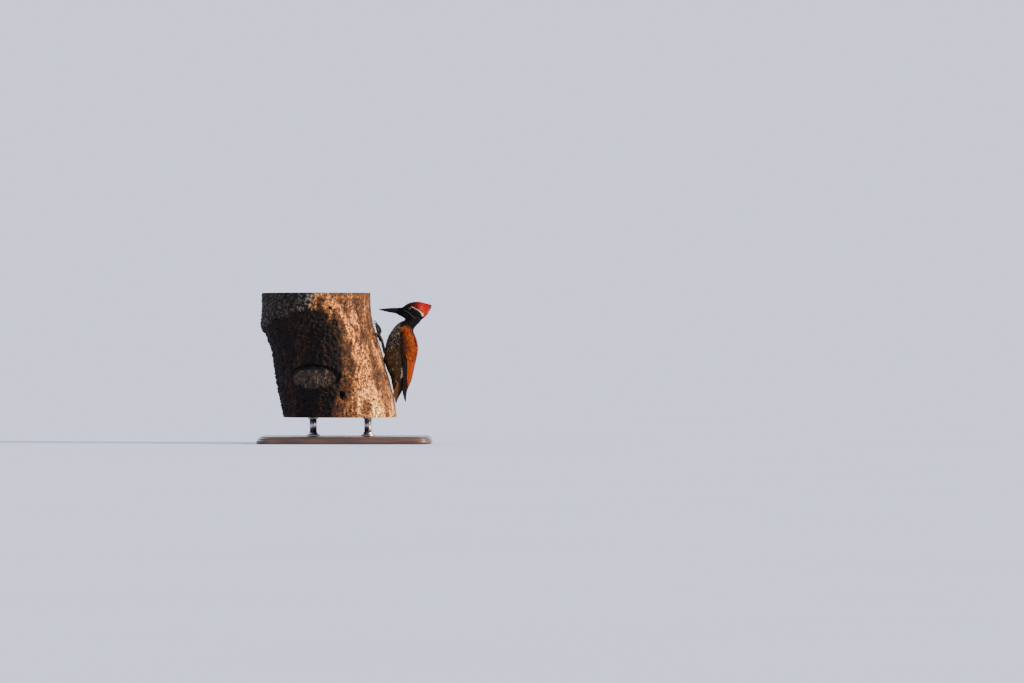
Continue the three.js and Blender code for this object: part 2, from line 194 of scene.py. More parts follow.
# ---------------------------------------------------------------- materials
class Shader:
    """A material's nodes, with short ways to add and join them."""

    def __init__(self, name, roughness, metallic=0.0, specular=0.5, **sockets):
        self.material = bpy.data.materials.new(name)
        self.material.use_nodes = True
        self.nodes = self.material.node_tree.nodes
        self.links = self.material.node_tree.links
        self.bsdf = self.nodes["Principled BSDF"]
        self.bsdf.inputs["Roughness"].default_value = roughness
        self.bsdf.inputs["Metallic"].default_value = metallic
        self.bsdf.inputs["Specular IOR Level"].default_value = specular
        for socket, value in sockets.items():
            self.bsdf.inputs[socket.replace("_", " ")].default_value = value

    def add(self, kind, inputs=None, **settings):
        node = self.nodes.new(kind)
        for key, value in settings.items():
            setattr(node, key, value)
        for key, value in (inputs or {}).items():
            if hasattr(value, "is_output"):
                self.links.new(value, node.inputs[key])
            else:
                node.inputs[key].default_value = value
        return node

    def math(self, operation, a, b=0.0, c=0.0):
        return self.add("ShaderNodeMath", {0: a, 1: b, 2: c}, operation=operation).outputs[0]

    def waves(self, value, pitch):
        """Waves from 0 to 1, one pitch long."""
        wave = self.math("SINE", self.math("MULTIPLY", value, 2 * math.pi / pitch))
        return self.math("MULTIPLY_ADD", wave, 0.5, 0.5)

    def place(self, stretch=(1, 1, 1)):
        """Object coordinates in metres, stretched."""
        where = self.add("ShaderNodeTexCoord").outputs["Object"]
        return self.add("ShaderNodeMapping", {"Vector": where, "Scale": stretch}).outputs[0]

    def noise(self, scale, detail=4.0, rough=0.55, stretch=(1, 1, 1), distortion=0.0):
        inputs = {"Vector": self.place(stretch), "Scale": scale, "Detail": detail, "Roughness": rough}
        return self.add("ShaderNodeTexNoise", {**inputs, "Distortion": distortion}).outputs["Fac"]

    def painted(self, layer):
        """The colours painted on the vertices under a name."""
        return self.add("ShaderNodeVertexColor", layer_name=layer).outputs["Color"]

    def spread(self, value, low, high):
        """A value from 0 to 1, carried over to run from low to high."""
        return self.add("ShaderNodeMapRange", {"Value": value, "To Min": low, "To Max": high}).outputs[0]

    def shade(self, colour, value, *stops):
        """A colour darkened or lightened by greys along a value from 0 to 1."""
        return self.blend(1.0, colour, self.ramp(value, *stops), "MULTIPLY")

    def ramp(self, value, *stops):
        """Colours along a value from 0 to 1. Each stop is (place, grey) or (place, (r, g, b))."""
        node = self.add("ShaderNodeValToRGB", {"Fac": value})
        elements = node.color_ramp.elements
        while len(elements) < len(stops):
            elements.new(0.5)
        for element, (at, colour) in zip(elements, stops):
            rgb = (colour,) * 3 if isinstance(colour, (int, float)) else colour
            element.position = at
            element.color = (*rgb, 1)
        return node.outputs["Color"]

    def blend(self, factor, a, b, mode="MIX"):
        node = self.add("ShaderNodeMix", data_type="RGBA", blend_type=mode)
        for socket, value in (("Factor_Float", factor), ("A_Color", a), ("B_Color", b)):
            slot = next(s for s in node.inputs if s.identifier == socket)
            if hasattr(value, "is_output"):
                self.links.new(value, slot)
            else:
                slot.default_value = value if isinstance(value, (int, float)) else (*value, 1)
        return next(s for s in node.outputs if s.identifier == "Result_Color")

    def bump(self, height, distance, strength=1.0):
        """Bump from a height of 0 to 1, distance metres deep."""
        inputs = {"Height": height, "Distance": distance, "Strength": strength}
        return self.add("ShaderNodeBump", inputs).outputs["Normal"]

    def finish(self, colour=None, roughness=None, normal=None):
        for socket, value in (("Base Color", colour), ("Roughness", roughness), ("Normal", normal)):
            if value is None:
                continue
            if hasattr(value, "is_output"):
                self.links.new(value, self.bsdf.inputs[socket])
            else:
                self.bsdf.inputs[socket].default_value = (*value, 1)
        return self.material


BARB_PITCH = 0.42  # how far apart the barbs' lines are, in the vane map's millimetres


def feather_material():
    """Painted feathers, with the fine slanting lines of their barbs on either side of a shaft."""
    s = Shader("plumage", 0.6, specular=0.06, Sheen_Weight=0.006, Sheen_Roughness=0.45)
    vane = s.add("ShaderNodeSeparateXYZ", {0: s.add("ShaderNodeUVMap", uv_map="Vane").outputs[0]})
    across = s.math("ABSOLUTE", vane.outputs[0])
    along = s.math("MULTIPLY_ADD", across, -0.8, vane.outputs[1])
    barbs = s.waves(along, BARB_PITCH)
    clumps = s.noise(900, 3)
    height = s.math("MULTIPLY_ADD", clumps, 0.9, barbs)
    shaft = s.ramp(across, (0.0, 1.0), (0.12, 0.0))
    colour = s.shade(s.painted("Coat"), s.math("MULTIPLY", height, 0.6), (0.2, 0.6), (0.8, 1.15))
    colour = s.blend(s.math("MULTIPLY", shaft, 0.25), colour, (0.01, 0.008, 0.006))
    return s.finish(colour, normal=s.bump(height, 0.00012, 0.7))


def skin_material():
    s = Shader("skin", 0.75, specular=0.2)
    down = s.noise(700, 5, 0.6)
    colour = s.shade(s.painted("Coat"), down, (0.3, 0.55), (0.75, 1.0))
    return s.finish(colour, normal=s.bump(down, 0.0004))


def horn_material(name, dark, light, roughness):
    """Bill and claw horn: long fine ridges and a worn, paler bloom."""
    s = Shader(name, roughness, specular=0.14)
    ridges = s.noise(900, 4, 0.5, (0.08, 1, 1))
    wear = s.noise(160, 4, 0.6)
    colour = s.blend(s.ramp(wear, (0.4, 0.0), (0.75, 1.0)), dark, light)
    rough = s.spread(wear, roughness - 0.08, roughness + 0.14)
    return s.finish(colour, rough, s.bump(ridges, 0.00012, 0.6))


def scale_material():
    """The grey scaled skin of the legs, mottled darker and lighter."""
    s = Shader("leg_scales", 0.55, specular=0.2)
    colour = s.blend(s.painted("Scale"), (0.006, 0.005, 0.004), (0.034, 0.028, 0.019))
    colour = s.shade(colour, s.noise(500, 4, 0.6), (0.3, 0.7), (0.7, 1.1))
    return s.finish(colour, normal=s.bump(s.noise(2600, 3), 0.00008, 0.5))


# ---------------------------------------------------------------- grooming: the lie and size of the coat
# Places in the bird's side view and, there, which way the feathers point, how far apart their roots are, how
# long and wide they are and how deep the coat is. Between the places the coat changes smoothly.
#   x, z, direction x, direction z, spacing, length, width, depth
GUIDES = np.array([
    (102, 256, 0.80, 0.60, 0.85, 2.8, 1.3, 0.7),    # nasal tuft
    (110, 261, 0.87, 0.48, 0.95, 3.8, 1.5, 0.9),    # forehead
    (120, 266, 0.95, 0.26, 1.05, 5.2, 1.6, 1.1),    # crown
    (132, 268, 0.99, -0.02, 1.20, 8.0, 1.9, 1.6),
    (144, 266, 0.98, -0.12, 1.35, 11.0, 2.2, 2.2),  # crest
    (158, 262, 0.99, 0.02, 1.40, 11.0, 2.0, 2.0),
    (150, 252, 0.93, 0.30, 1.35, 10.0, 2.2, 2.0),
    (104, 250, 0.98, -0.10, 0.85, 2.8, 1.4, 0.7),   # lores
    (116, 251, 0.97, -0.22, 0.90, 3.2, 1.5, 0.8),   # round the eye
    (128, 256, 0.97, -0.20, 1.00, 4.6, 1.8, 1.0),   # brow
    (134, 250, 0.92, -0.38, 1.10, 5.4, 2.1, 1.2),   # ear coverts
    (142, 244, 0.55, -0.83, 1.30, 6.5, 2.5, 1.4),
    (146, 238, -0.20, -0.98, 1.40, 7.0, 2.8, 1.5),  # nape
    (118, 245, 0.90, -0.44, 1.00, 4.2, 1.8, 0.9),   # cheek
    (103, 245, 0.88, -0.46, 0.90, 3.2, 1.5, 0.8),   # chin
    (110, 241, 0.80, -0.60, 1.00, 4.0, 1.8, 1.0),
    (116, 237, 0.25, -0.97, 1.25, 5.5, 2.4, 1.2),   # throat
    (128, 235, -0.20, -0.98, 1.50, 7.5, 3.0, 1.5),  # side of the neck
    (138, 229, -0.62, -0.78, 1.60, 8.0, 3.3, 1.7),  # hindneck
    (131, 221, -0.15, -0.99, 1.90, 9.0, 4.2, 2.0),
    (110, 231, -0.66, -0.75, 1.60, 7.0, 3.4, 1.6),  # foreneck
    (99, 225, -0.72, -0.69, 1.90, 8.5, 4.2, 1.9),   # upper breast
    (88, 212, -0.50, -0.87, 2.20, 10.5, 5.0, 2.2),  # breast
    (79, 195, -0.16, -0.99, 2.40, 12.0, 5.6, 2.4),
    (76, 175, 0.04, -1.00, 2.60, 13.5, 6.0, 2.5),   # belly
    (79, 150, 0.26, -0.97, 2.60, 13.5, 6.0, 2.4),
    (86, 133, 0.25, -0.97, 2.40, 12.0, 5.4, 2.0),   # vent
    (93, 112, 0.22, -0.98, 2.20, 12.0, 5.0, 1.4),   # undertail coverts
    (97, 100, 0.10, -0.99, 2.00, 10.0, 4.4, 0.9),
    (132, 212, 0.22, -0.98, 2.20, 11.0, 5.4, 2.3),  # mantle
    (137, 192, 0.08, -1.00, 2.50, 13.0, 6.4, 2.6),
    (136, 168, -0.10, -0.99, 2.60, 13.0, 6.4, 2.4), # back
    (128, 140, -0.25, -0.97, 2.40, 12.0, 5.6, 1.9), # rump
    (116, 118, -0.36, -0.93, 2.20, 12.0, 5.2, 1.4), # uppertail coverts
    (100, 190, -0.05, -1.00, 2.30, 11.5, 5.4, 2.3), # flank
    (102, 160, 0.05, -1.00, 2.50, 13.0, 6.0, 2.3),
    (114, 216, 0.00, -1.00, 1.80, 7.6, 4.4, 2.2),   # shoulder
    (118, 196, 0.04, -1.00, 2.20, 9.4, 5.6, 2.4),   # wing coverts
    (118, 176, 0.02, -1.00, 2.60, 11.5, 6.6, 2.4),
])
GUIDE_REACH = 8.0  # how far a guide's influence goes


def groom(points):
    """The coat's direction, not yet laid along the surface, and its spacing, length, width and depth."""
    profile = points[:, [0, 2]]
    gap2 = ((profile[:, None, :] - GUIDES[None, :, :2]) ** 2).sum(axis=2)
    weight = np.exp(-gap2 / (2 * GUIDE_REACH**2)) + 1e-12 / (gap2 + 1)
    made = weight @ GUIDES[:, 2:] / weight.sum(axis=1, keepdims=True)
    direction = np.zeros_like(points)
    direction[:, [0, 2]] = made[:, :2]
    return direction, made[:, 2], made[:, 3], made[:, 4], made[:, 5]


def along_surface(direction, normal):
    return unit(direction - normal * (direction * normal).sum(axis=1, keepdims=True))


# The line from the bill's root through head, neck and body to the undertail, in the side view.
SPINE = np.array([
    (97, 252), (116, 251), (130, 248), (129, 236), (118, 224), (110, 206), (107, 180), (105, 145), (96, 92),
])


def unwrap(points):
    """How far along the spine, and how far round it, each point is, both from 0 to 1."""
    profile = points[:, [0, 2]]
    steps = np.diff(SPINE, axis=0)
    lengths = np.linalg.norm(steps, axis=1)
    starts = np.concatenate([[0], np.cumsum(lengths)])
    best = np.full(len(points), np.inf)
    along, across = np.zeros(len(points)), np.zeros(len(points))
    for i, (start, step, length) in enumerate(zip(SPINE[:-1], steps, lengths)):
        t = np.clip(((profile - start) @ step) / length**2, 0, 1)
        offset = profile - start - t[:, None] * step
        distance = (offset**2).sum(axis=1)
        side = np.sign(step[0] * offset[:, 1] - step[1] * offset[:, 0])
        closer = distance < best
        best = np.where(closer, distance, best)
        along = np.where(closer, starts[i] + t * length, along)
        across = np.where(closer, side * np.sqrt(distance), across)
    around = np.arctan2(points[:, 1], across)
    return np.stack([along / starts[-1], around / (2 * math.pi) + 0.5], axis=1)


# ---------------------------------------------------------------- markings
BLACK = np.array((0.0058, 0.0054, 0.0052))
BROWN_BLACK = np.array((0.012, 0.0075, 0.0050))
CRIMSON = np.array((0.15, 0.0075, 0.0085))
SCARLET = np.array((0.42, 0.013, 0.010))
FLAME = np.array((0.62, 0.046, 0.014))
WHITE = np.array((0.56, 0.465, 0.36))
BUFF = np.array((0.17, 0.125, 0.085))
GOLD = np.array((0.235, 0.040, 0.0012))
ORANGE = np.array((0.150, 0.024, 0.0010))
RUSSET = np.array((0.155, 0.030, 0.0062))
OLIVE = np.array((0.050, 0.020, 0.0040))
BELLY_BROWN = np.array((0.054, 0.0295, 0.0106))
# The flank's cream flash, painted far brighter than the white it is: painted light, as if the sun reached it
# past the wing.
SUNLIT_CREAM = np.array((0.92, 0.78, 0.52))

# Lines of colour in the side view: x, z and half width along each.
BROW = np.array([
    (128, 259.4, 0.2), (133, 256.8, 0.5), (139, 253.2, 0.65), (144.5, 249.2, 0.9), (148.2, 243.0, 2.4),
])
CHEEK = np.array([
    (111, 253.2, 0.2), (117, 251.2, 0.55), (122, 248.4, 0.65), (128, 243.0, 0.65), (134, 235.6, 0.45),
])
FLANK_FLASH = np.array([
    (108.3, 143, 1.0), (109.2, 135, 1.7), (108.6, 127, 1.9), (105.5, 121.5, 1.3), (103.2, 115, 1.2),
    (101, 109, 0.9), (98.5, 101, 0.5),
])
# The neck's black ends above this line, which runs round the top of the orange shoulder.
BLACK_NECK = np.array([
    (96, 244), (102, 233), (105, 224), (107.5, 218.5), (110.5, 221), (114, 222.4), (118, 222.2), (123, 219.6),
    (128, 214.5), (133, 207.5), (137, 201),
])


def line_distance(points, line):
    """How far each point is from a line of colour in the side view, as a share of the line's half width."""
    profile = points[:, [0, 2]]
    best = np.full(len(points), np.inf)
    for (x0, z0, w0), (x1, z1, w1) in zip(line[:-1], line[1:]):
        step = np.array((x1 - x0, z1 - z0))
        t = np.clip(((profile - (x0, z0)) @ step) / (step @ step), 0, 1)
        offset = profile - (x0, z0) - t[:, None] * step
        best = np.minimum(best, np.linalg.norm(offset, axis=1) / (w0 + (w1 - w0) * t))
    return best


def crown_edge(x):
    """The height of the red crown's lower border, which runs just over the brow line."""
    places, heights = (100, 108, 118, 126, 137, 146, 150, 156), (260, 261, 262.2, 261, 255.4, 250, 241, 236)
    return np.interp(x, places, heights)


def head_colour(points, speckle):
    """The colour of the head at some points. speckle is a random number from 0 to 1 for each."""
    x, z = points[:, 0], points[:, 2]
    red = smoothstep(-0.4, 0.5, z - crown_edge(x) + (speckle - 0.5))
    front = smoothstep(114, 150, x + 8 * (speckle - 0.5))
    crown = mix(CRIMSON * 0.12, CRIMSON, front)
    flame = mix(SCARLET, FLAME, (speckle * 6.1) % 1 * smoothstep(262, 252, z))
    flame = flame * (0.55 + 0.75 * speckle)[:, None]
    crown = mix(crown, flame, smoothstep(136, 147, x + 0.2 * (252 - z) + 6 * (speckle - 0.5)))
    black_tips = (speckle < 0.5 * (1 - front)) & (x < 138)
    crown[black_tips] = BLACK
    colour = mix(BLACK, crown, red)
    brow = 1 - smoothstep(0.85, 1.15, line_distance(points, BROW))
    cheek = 1 - smoothstep(0.85, 1.15, line_distance(points, CHEEK))
    colour = mix(colour, WHITE, np.where(np.abs(points[:, 1]) > 2.5, brow, 0))
    # The pale cheek line is painted a dim grey, far darker than its own white: painted shade over the face.
    colour = mix(colour, WHITE * (0.20, 0.19, 0.14), cheek)
    fleck = (speckle > 0.9) & (z < 246) & (x < 120) & (line_distance(points, CHEEK) > 2)
    colour[fleck] = WHITE * 0.3
    return colour


def body_colours(points, speckle):
    """The middle and the edge colour of the feathers of the neck and body."""
    x, y, z = points.T
    jitter = speckle - 0.5
    back_line = np.interp(z, (90, 130, 160, 198, 208, 216, 226), (104, 108, 112, 113, 112, 107, 107))
    back = smoothstep(-2, 3, x - back_line + 3 * jitter)
    below_neck = smoothstep(0.5, -0.5, z - np.interp(x, BLACK_NECK[:, 0], BLACK_NECK[:, 1]) + 3 * jitter)
    low = smoothstep(192, 168, z + 8 * jitter)
    spotted = (speckle * 7.3) % 1 < 0.50 - 0.46 * low
    pale = mix(BUFF, WHITE * 0.5, (speckle * 3.7) % 1)
    soft = smoothstep(-0.25, 0.25, fractal(points, 7, 3, 61.0))
    dull = BELLY_BROWN * (0.2 + 0.5 * speckle + (0.85 + 1.1 * soft) * low)[:, None]
    middle = np.where(spotted[:, None], pale * (0.6 + 0.65 * speckle[:, None]), dull)
    # Darker olive where the body meets the wing's front edge: painted shade.
    wing_front_shade = smoothstep(101, 106, x + 4 * jitter) * smoothstep(190, 204, z) * smoothstep(218, 210, z)
    middle = mix(middle, OLIVE * 0.3, wing_front_shade)
    middle = mix(BLACK, middle, below_neck)
    edge = mix(BROWN_BLACK * 0.8, BELLY_BROWN * (0.6 + 0.5 * speckle[:, None]), low)
    mantle = mix(ORANGE, GOLD, speckle)
    mantle = mix(mantle, RUSSET * 1.4, smoothstep(200, 218, z) * 0.5)
    black_mantle = back * smoothstep(196, 206, z + 8 * jitter) * (np.abs(y) < 13 + 8 * jitter)
    folded_over = smoothstep(12, 17, np.abs(y)) * smoothstep(184, 176, z)  # where a wing hides the body
    orange = back * below_neck * smoothstep(146, 158, z)
    rump = np.maximum(back * np.maximum(smoothstep(158, 146, z), folded_over), black_mantle)
    for share, inner, outer in (
        (orange, mantle, mantle * 0.6), (rump, BLACK * 1.3, BLACK), (1 - below_neck, BLACK, BLACK),
    ):
        middle, edge = mix(middle, inner, share), mix(edge, outer, share)
    flash = (1 - smoothstep(0.8, 1.25, line_distance(points, FLANK_FLASH))) * (np.abs(y) > 4)
    barred = (speckle * 5.1) % 1 > 0.3
    # The flash is painted in its cream, with painted light on it.
    middle = mix(middle, SUNLIT_CREAM, flash)
    edge = mix(edge, SUNLIT_CREAM * 0.7, flash * barred)
    return middle, edge


def wing_colours(points, speckle):
    """The middle and the edge colour of the small wing coverts."""
    x, _, z = points.T
    gold = mix(ORANGE * 1.3, GOLD * 1.35, speckle)
    patchy = smoothstep(-0.05, 0.28, fractal(points, 8, 3, 51.0) + 0.25 * (speckle - 0.5))
    gold = mix(gold, RUSSET * 0.5, patchy * 0.6)
    gold = mix(gold, RUSSET * 0.6, ((speckle * 9.7) % 1 < 0.24) * 0.8)
    gold = mix(gold, RUSSET * 1.9, smoothstep(204, 222, z) * 0.5)
    # Towards the wing's front edge the coverts are painted dark olive and brown black, from where the light
    # reaches them (lit_from) forwards: painted shade.
    lit_from = np.interp(z, (174, 189, 204, 219), (130, 128, 123, 114))
    front = smoothstep(lit_from, 105.5, x + 3 * (speckle - 0.5)) ** 0.7
    front_shade = mix(OLIVE * 0.6, BROWN_BLACK, smoothstep(214, 190, z))
    middle = mix(gold, front_shade, front)
    edge = mix(gold * 0.45, front_shade * 0.5, front)
    return middle, edge


# ---------------------------------------------------------------- skin
VOXEL = 0.8  # millimetres
MEND = 0.35  # how far the flesh is swollen first, so that the cuts between its parts close
WING_SKIN_FLOOR = 150  # below this height the wings are feathers only
SKIN_SHADE = 0.55  # how much darker the skin is painted than the feathers over it: painted shade under the coat


def flesh_form():
    """The flesh and the upper wings as one object, swollen enough that they run together."""
    bm = bmesh.new()
    for node in FLESH + WINGS:
        part = bmesh.new()
        part.from_mesh(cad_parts[node].data)
        bmesh.ops.remove_doubles(part, verts=part.verts, dist=1e-6)
        if node.startswith("wing"):
            cut = bmesh.ops.bisect_plane(
                part,
                geom=part.verts[:] + part.edges[:] + part.faces[:],
                plane_co=(0, 0, WING_SKIN_FLOOR * MM),
                plane_no=(0, 0, 1),
                clear_inner=True,
            )
            rim = [e for e in cut["geom_cut"] if isinstance(e, bmesh.types.BMEdge)]
            bmesh.ops.holes_fill(part, edges=rim)
        bmesh.ops.recalc_face_normals(part, faces=part.faces)
        part.normal_update()
        moved = [(v, v.co + v.normal * MEND * MM) for v in part.verts]
        for vert, place in moved:
            vert.co = place
        mesh = bpy.data.meshes.new("part")
        part.to_mesh(mesh)
        part.free()
        bm.from_mesh(mesh)
        bpy.data.meshes.remove(mesh)
    mesh = bpy.data.meshes.new("flesh_form")
    bm.to_mesh(mesh)
    bm.free()
    return add_object("flesh_form", mesh)


def remeshed(form):
    """A form's fused and smoothed surface: vertices in millimetres, quads and vertex normals."""
    voxels = form.modifiers.new("fuse", "REMESH")
    voxels.mode = "VOXEL"
    voxels.voxel_size = VOXEL * MM
    soften = form.modifiers.new("soften", "SMOOTH")
    soften.factor = 0.5
    soften.iterations = 10
    fused = bpy.data.meshes.new_from_object(form.evaluated_get(bpy.context.evaluated_depsgraph_get()))
    bpy.data.objects.remove(form)
    verts = np.empty(len(fused.vertices) * 3)
    fused.vertices.foreach_get("co", verts)
    normals = np.empty(len(fused.vertices) * 3)
    fused.vertices.foreach_get("normal", normals)
    faces = np.array([p.vertices[:] for p in fused.polygons])
    return verts.reshape(-1, 3) / MM, faces, normals.reshape(-1, 3)


def make_skin():
    """The skin's vertices and faces: the flesh drawn in by the depth of the coat."""
    verts, faces, normals = remeshed(flesh_form())
    depth = groom(verts)[4]
    return verts - normals * (MEND + depth)[:, None], faces


skin_verts, skin_faces = make_skin()
skin_tree = tree_of(skin_verts, skin_faces)
NODE_TREES = {node: cad_tree(node) for node in FLESH + WINGS}


def node_of(points):
    """The name of the CAD node that each point of the skin lies under."""
    names = list(NODE_TREES)
    gaps = np.array([[tree.find_nearest(Vector(p))[3] for p in points] for tree in NODE_TREES.values()])
    return np.array(names)[gaps.argmin(axis=0)]


def skin_colours(points, nodes):
    speckle = np.full(len(points), 0.5)
    head = np.isin(nodes, ("head", "crest"))
    wing = np.char.startswith(nodes, "wing")
    colours = body_colours(points, speckle)[0]
    colours[head] = head_colour(points[head], speckle[head])
    colours[wing] = wing_colours(points[wing], speckle[wing])[0]
    return colours * SKIN_SHADE


skin = make_object("skin", skin_verts, skin_faces, skin_material())
paint(skin, "Coat", skin_colours(skin_verts, node_of(skin_verts)))
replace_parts(skin, *FLESH)


# ---------------------------------------------------------------- vanes
def closed(grid):
    """A grid whose first column comes again after its last."""
    return np.concatenate([grid, grid[:, :1]], axis=1)


def quads(grid):
    """The faces of a grid of vertex numbers, facing up where columns run across and rows run along."""
    return np.stack([grid[:-1, :-1], grid[:-1, 1:], grid[1:, 1:], grid[1:, :-1]], axis=-1).reshape(-1, 4)


class Vane:
    """The form of one kind of feather: a thin lens, closed by a top and an underside that share a rim.

    u runs across from -1 to 1 and v along from 0 at the root to 1 at the tip, each one number a vertex.
    """

    def __init__(self, cols, rows, root, broad, tip, round_off, fray, camber, thick):
        grid = np.arange(rows * cols).reshape(rows, cols)
        under = grid.copy()
        under[1:-1, 1:-1] = np.arange((rows - 2) * (cols - 2)).reshape(rows - 2, cols - 2) + rows * cols
        self.faces = np.concatenate([quads(grid), quads(under)[:, ::-1]])
        row, col = np.divmod(np.arange(rows * cols), cols)
        inner = (row > 0) & (row < rows - 1) & (col > 0) & (col < cols - 1)
        row = np.concatenate([row, row[inner]])
        self.col = np.concatenate([col, col[inner]])
        self.rim = np.concatenate([~inner, np.zeros(inner.sum(), dtype=bool)])
        self.over = np.concatenate([inner * 1.0, -np.ones(inner.sum())])
        self.cols = cols
        self.u = np.linspace(-1, 1, cols)[self.col]
        self.v = (1 - (1 - np.linspace(0, 1, rows)) ** 1.5)[row]
        self.reach = 1 - round_off * np.abs(self.u) ** 2.2  # the outer barbs end short of the tip
        self.across = self.u * self.taper(self.v, root, broad, tip)
        self.fray, self.camber, self.thick = fray, camber, thick

    @staticmethod
    def taper(v, root, broad, tip):
        """The width along the vane, as a share of its widest, which is broad of the way along."""
        widening = root + (1 - root) * smoothstep(0, broad, v)
        narrowing = 1 - (1 - tip) * smoothstep(broad, 1, v)
        return np.where(v < broad, widening, narrowing)

    def frayed(self, count, rng):
        """How far along its line each vertex of each vane lies, with barbs of uneven length."""
        uneven = 1 - self.fray * rng.random((count, self.cols))[:, self.col] * self.v**3
        return self.v * self.reach * uneven

    def lens(self, share, thinner):
        """How far the top and the underside stand from the vane's middle, thinner towards the tip."""
        return self.thick * 0.5 * self.over * (1 - self.u**2) * (1 - thinner * share)


def along_line(stations, share):
    """Values between a line's even stations (N, K, 3) at shares of its length (N, V)."""
    last = stations.shape[1] - 1
    spot = np.clip(share, 0, 1) * last
    before = np.minimum(spot.astype(int), last - 1)
    part = (spot - before)[..., None]
    rows = np.arange(len(stations))[:, None]
    return stations[rows, before] * (1 - part) + stations[rows, before + 1] * part


BAKE_PATCH = 0.003  # how wide and tall a feather is on the bake map
BAKE_RIM = 0.004  # keeps the patches inside the map


class Coat:
    """Feathers gathered into one piece."""

    def __init__(self, name, slot, material):
        self.name, self.slot, self.material = name, slot, material
        self.parts = []
        self.count = 0

    def add(self, vane, verts, colours, sizes, roots, flip=False):
        """Takes in N vanes: vertices and colours (N, V, 3), half widths and lengths (N, 2), roots (N, 2)."""
        number = len(verts)
        firsts = self.count + np.arange(number)[:, None, None] * len(vane.u)
        faces = (vane.faces[None] + firsts).reshape(-1, 4)
        if flip:
            faces = faces[:, ::-1]
        self.count += number * len(vane.u)
        local = np.stack([np.tile(vane.across, (number, 1)), np.tile(vane.v, (number, 1))], axis=-1)
        rim = np.tile(vane.rim, number)
        vane_uv = (local * sizes[:, None]).reshape(-1, 2)
        self.parts.append((verts.reshape(-1, 3), faces, colours.reshape(-1, 3), vane_uv, rim, roots, local))

    def build(self):
        verts, faces, colours, vane_uv, rim = (np.concatenate([p[i] for p in self.parts]) for i in range(5))
        obj = make_object(self.name, verts, faces, self.material, rim)
        paint(obj, "Coat", colours)
        lay_uv(obj, "OFBake", self.bake_map())
        lay_uv(obj, "Vane", vane_uv)
        return obj

    def bake_map(self):
        """Each feather as a patch BAKE_PATCH across, where its root lies on the unwrapped skin."""
        roots = np.concatenate([p[5] for p in self.parts])
        low, high = roots.min(axis=0), roots.max(axis=0)
        roots = BAKE_RIM + (roots - low) / np.maximum(high - low, 1e-6) * (1 - 2 * BAKE_RIM)
        made, start = [], 0
        for *_, part_roots, local in self.parts:
            spots = roots[start : start + len(part_roots)]
            start += len(part_roots)
            patch = (local * (0.5, 1) - (0, 0.5)) * BAKE_PATCH
            made.append((spots[:, None] + patch).reshape(-1, 2))
        return np.concatenate(made)


# ---------------------------------------------------------------- feathers over the skin
flesh_tree = cad_tree(*FLESH, *WINGS)
EYE_LOW, EYE_HIGH = box_of("eye_left")
EYE = {"x": (EYE_LOW[0] + EYE_HIGH[0]) / 2, "z": (EYE_LOW[2] + EYE_HIGH[2]) / 2}
EYE["radius"] = (EYE_HIGH[2] - EYE_LOW[2]) / 2
EYE["out"] = -(EYE_LOW[1] + EYE_HIGH[1]) / 2
BARE_RING = EYE["radius"] - 0.2  # no feather reaches closer than this to the middle of the eye
FACE_HALF = 4  # nearer the middle than this, nothing is beside an eye
LINE_STEPS = 4  # how many steps a feather's line takes over the skin
SEEN_AT = 0.85  # how far along a feather the part that shows is
PROUD = 0.7  # how far outside the CAD body a feather may run
BELLY_FLUFF = 2.4  # how much further the belly's feathers may stand off where they brush against the trunk


def fluff(points):
    """How much further the coat stands off at some points than elsewhere."""
    x, z = points[..., 0], points[..., 2]
    return BELLY_FLUFF * smoothstep(116, 144, z) * smoothstep(184, 164, z) * smoothstep(98, 84, x)


def eye_distance(points):
    """How far points are from the middle of an eye, in the side view."""
    beside = np.abs(points[..., 1]) > FACE_HALF
    away = np.hypot(points[..., 0] - EYE["x"], points[..., 2] - EYE["z"])
    return np.where(beside, away, np.inf)


def walk(roots, directions, lengths, bend):
    """Lines that run over the skin from their roots. A stiff vane turns by no more than bend a step."""
    p, d = roots, directions
    n = nearest(skin_tree, p)[1]
    points, normals, headings = [p], [n], [d]
    step = (lengths / LINE_STEPS)[:, None]
    for _ in range(LINE_STEPS):
        q, n = nearest(skin_tree, p + d * step)
        wanted = unit(q - p)
        turn = np.arccos(np.clip((wanted * d).sum(axis=1), -1, 1))
        share = np.minimum(1, bend / np.maximum(turn, 1e-6))[:, None]
        d = unit(d + (wanted - d) * share)
        n = along_surface(n, d)
        p = p + d * step
        points.append(p)
        normals.append(n)
        headings.append(d)
    return np.stack(points, 1), np.stack(normals, 1), np.stack(headings, 1)


def room_along(lines, normals, depth):
    """The share of each line before it leaves the body or reaches an eye."""
    count, stations, _ = lines.shape
    heights = depth[:, None] * np.linspace(0.1, 1, stations)
    places = lines + normals * heights[..., None]
    flat = places.reshape(-1, 3)
    spots, outward = nearest(flesh_tree, flat)
    stands_off = ((flat - spots) * outward).sum(axis=1).reshape(count, stations)
    outside = stands_off > PROUD + fluff(lines)
    blocked = outside | (eye_distance(places) < BARE_RING)
    blocked[:, 0] |= eye_distance(lines[:, 0]) < BARE_RING
    first = np.where(blocked.any(axis=1), blocked.argmax(axis=1), stations)
    return np.clip((first - 0.5) / (stations - 1), 0, 1)


def thin_out(places, spacing):
    """The numbers of the places that lie further than their spacing from every place kept before them."""
    cell = float(spacing.max())
    grid, kept = {}, []
    near = [(i, j, k) for i in (-1, 0, 1) for j in (-1, 0, 1) for k in (-1, 0, 1)]
    for number, ((x, y, z), gap) in enumerate(zip(places.tolist(), spacing.tolist())):
        ci, cj, ck = int(x // cell), int(y // cell), int(z // cell)
        limit = gap * gap
        crowded = any(
            (x - a) ** 2 + (y - b) ** 2 + (z - c) ** 2 < limit
            for i, j, k in near
            for a, b, c in grid.get((ci + i, cj + j, ck + k), ())
        )
        if not crowded:
            grid.setdefault((ci, cj, ck), []).append((x, y, z))
            kept.append(number)
    return np.array(kept)


TRIES = 6  # places tried for each root that the coat asks for
DOWN_HIND_FACES = (-0.6, 0, -2.2)  # where the skin looks the way the coat lies, the feathers turn down it


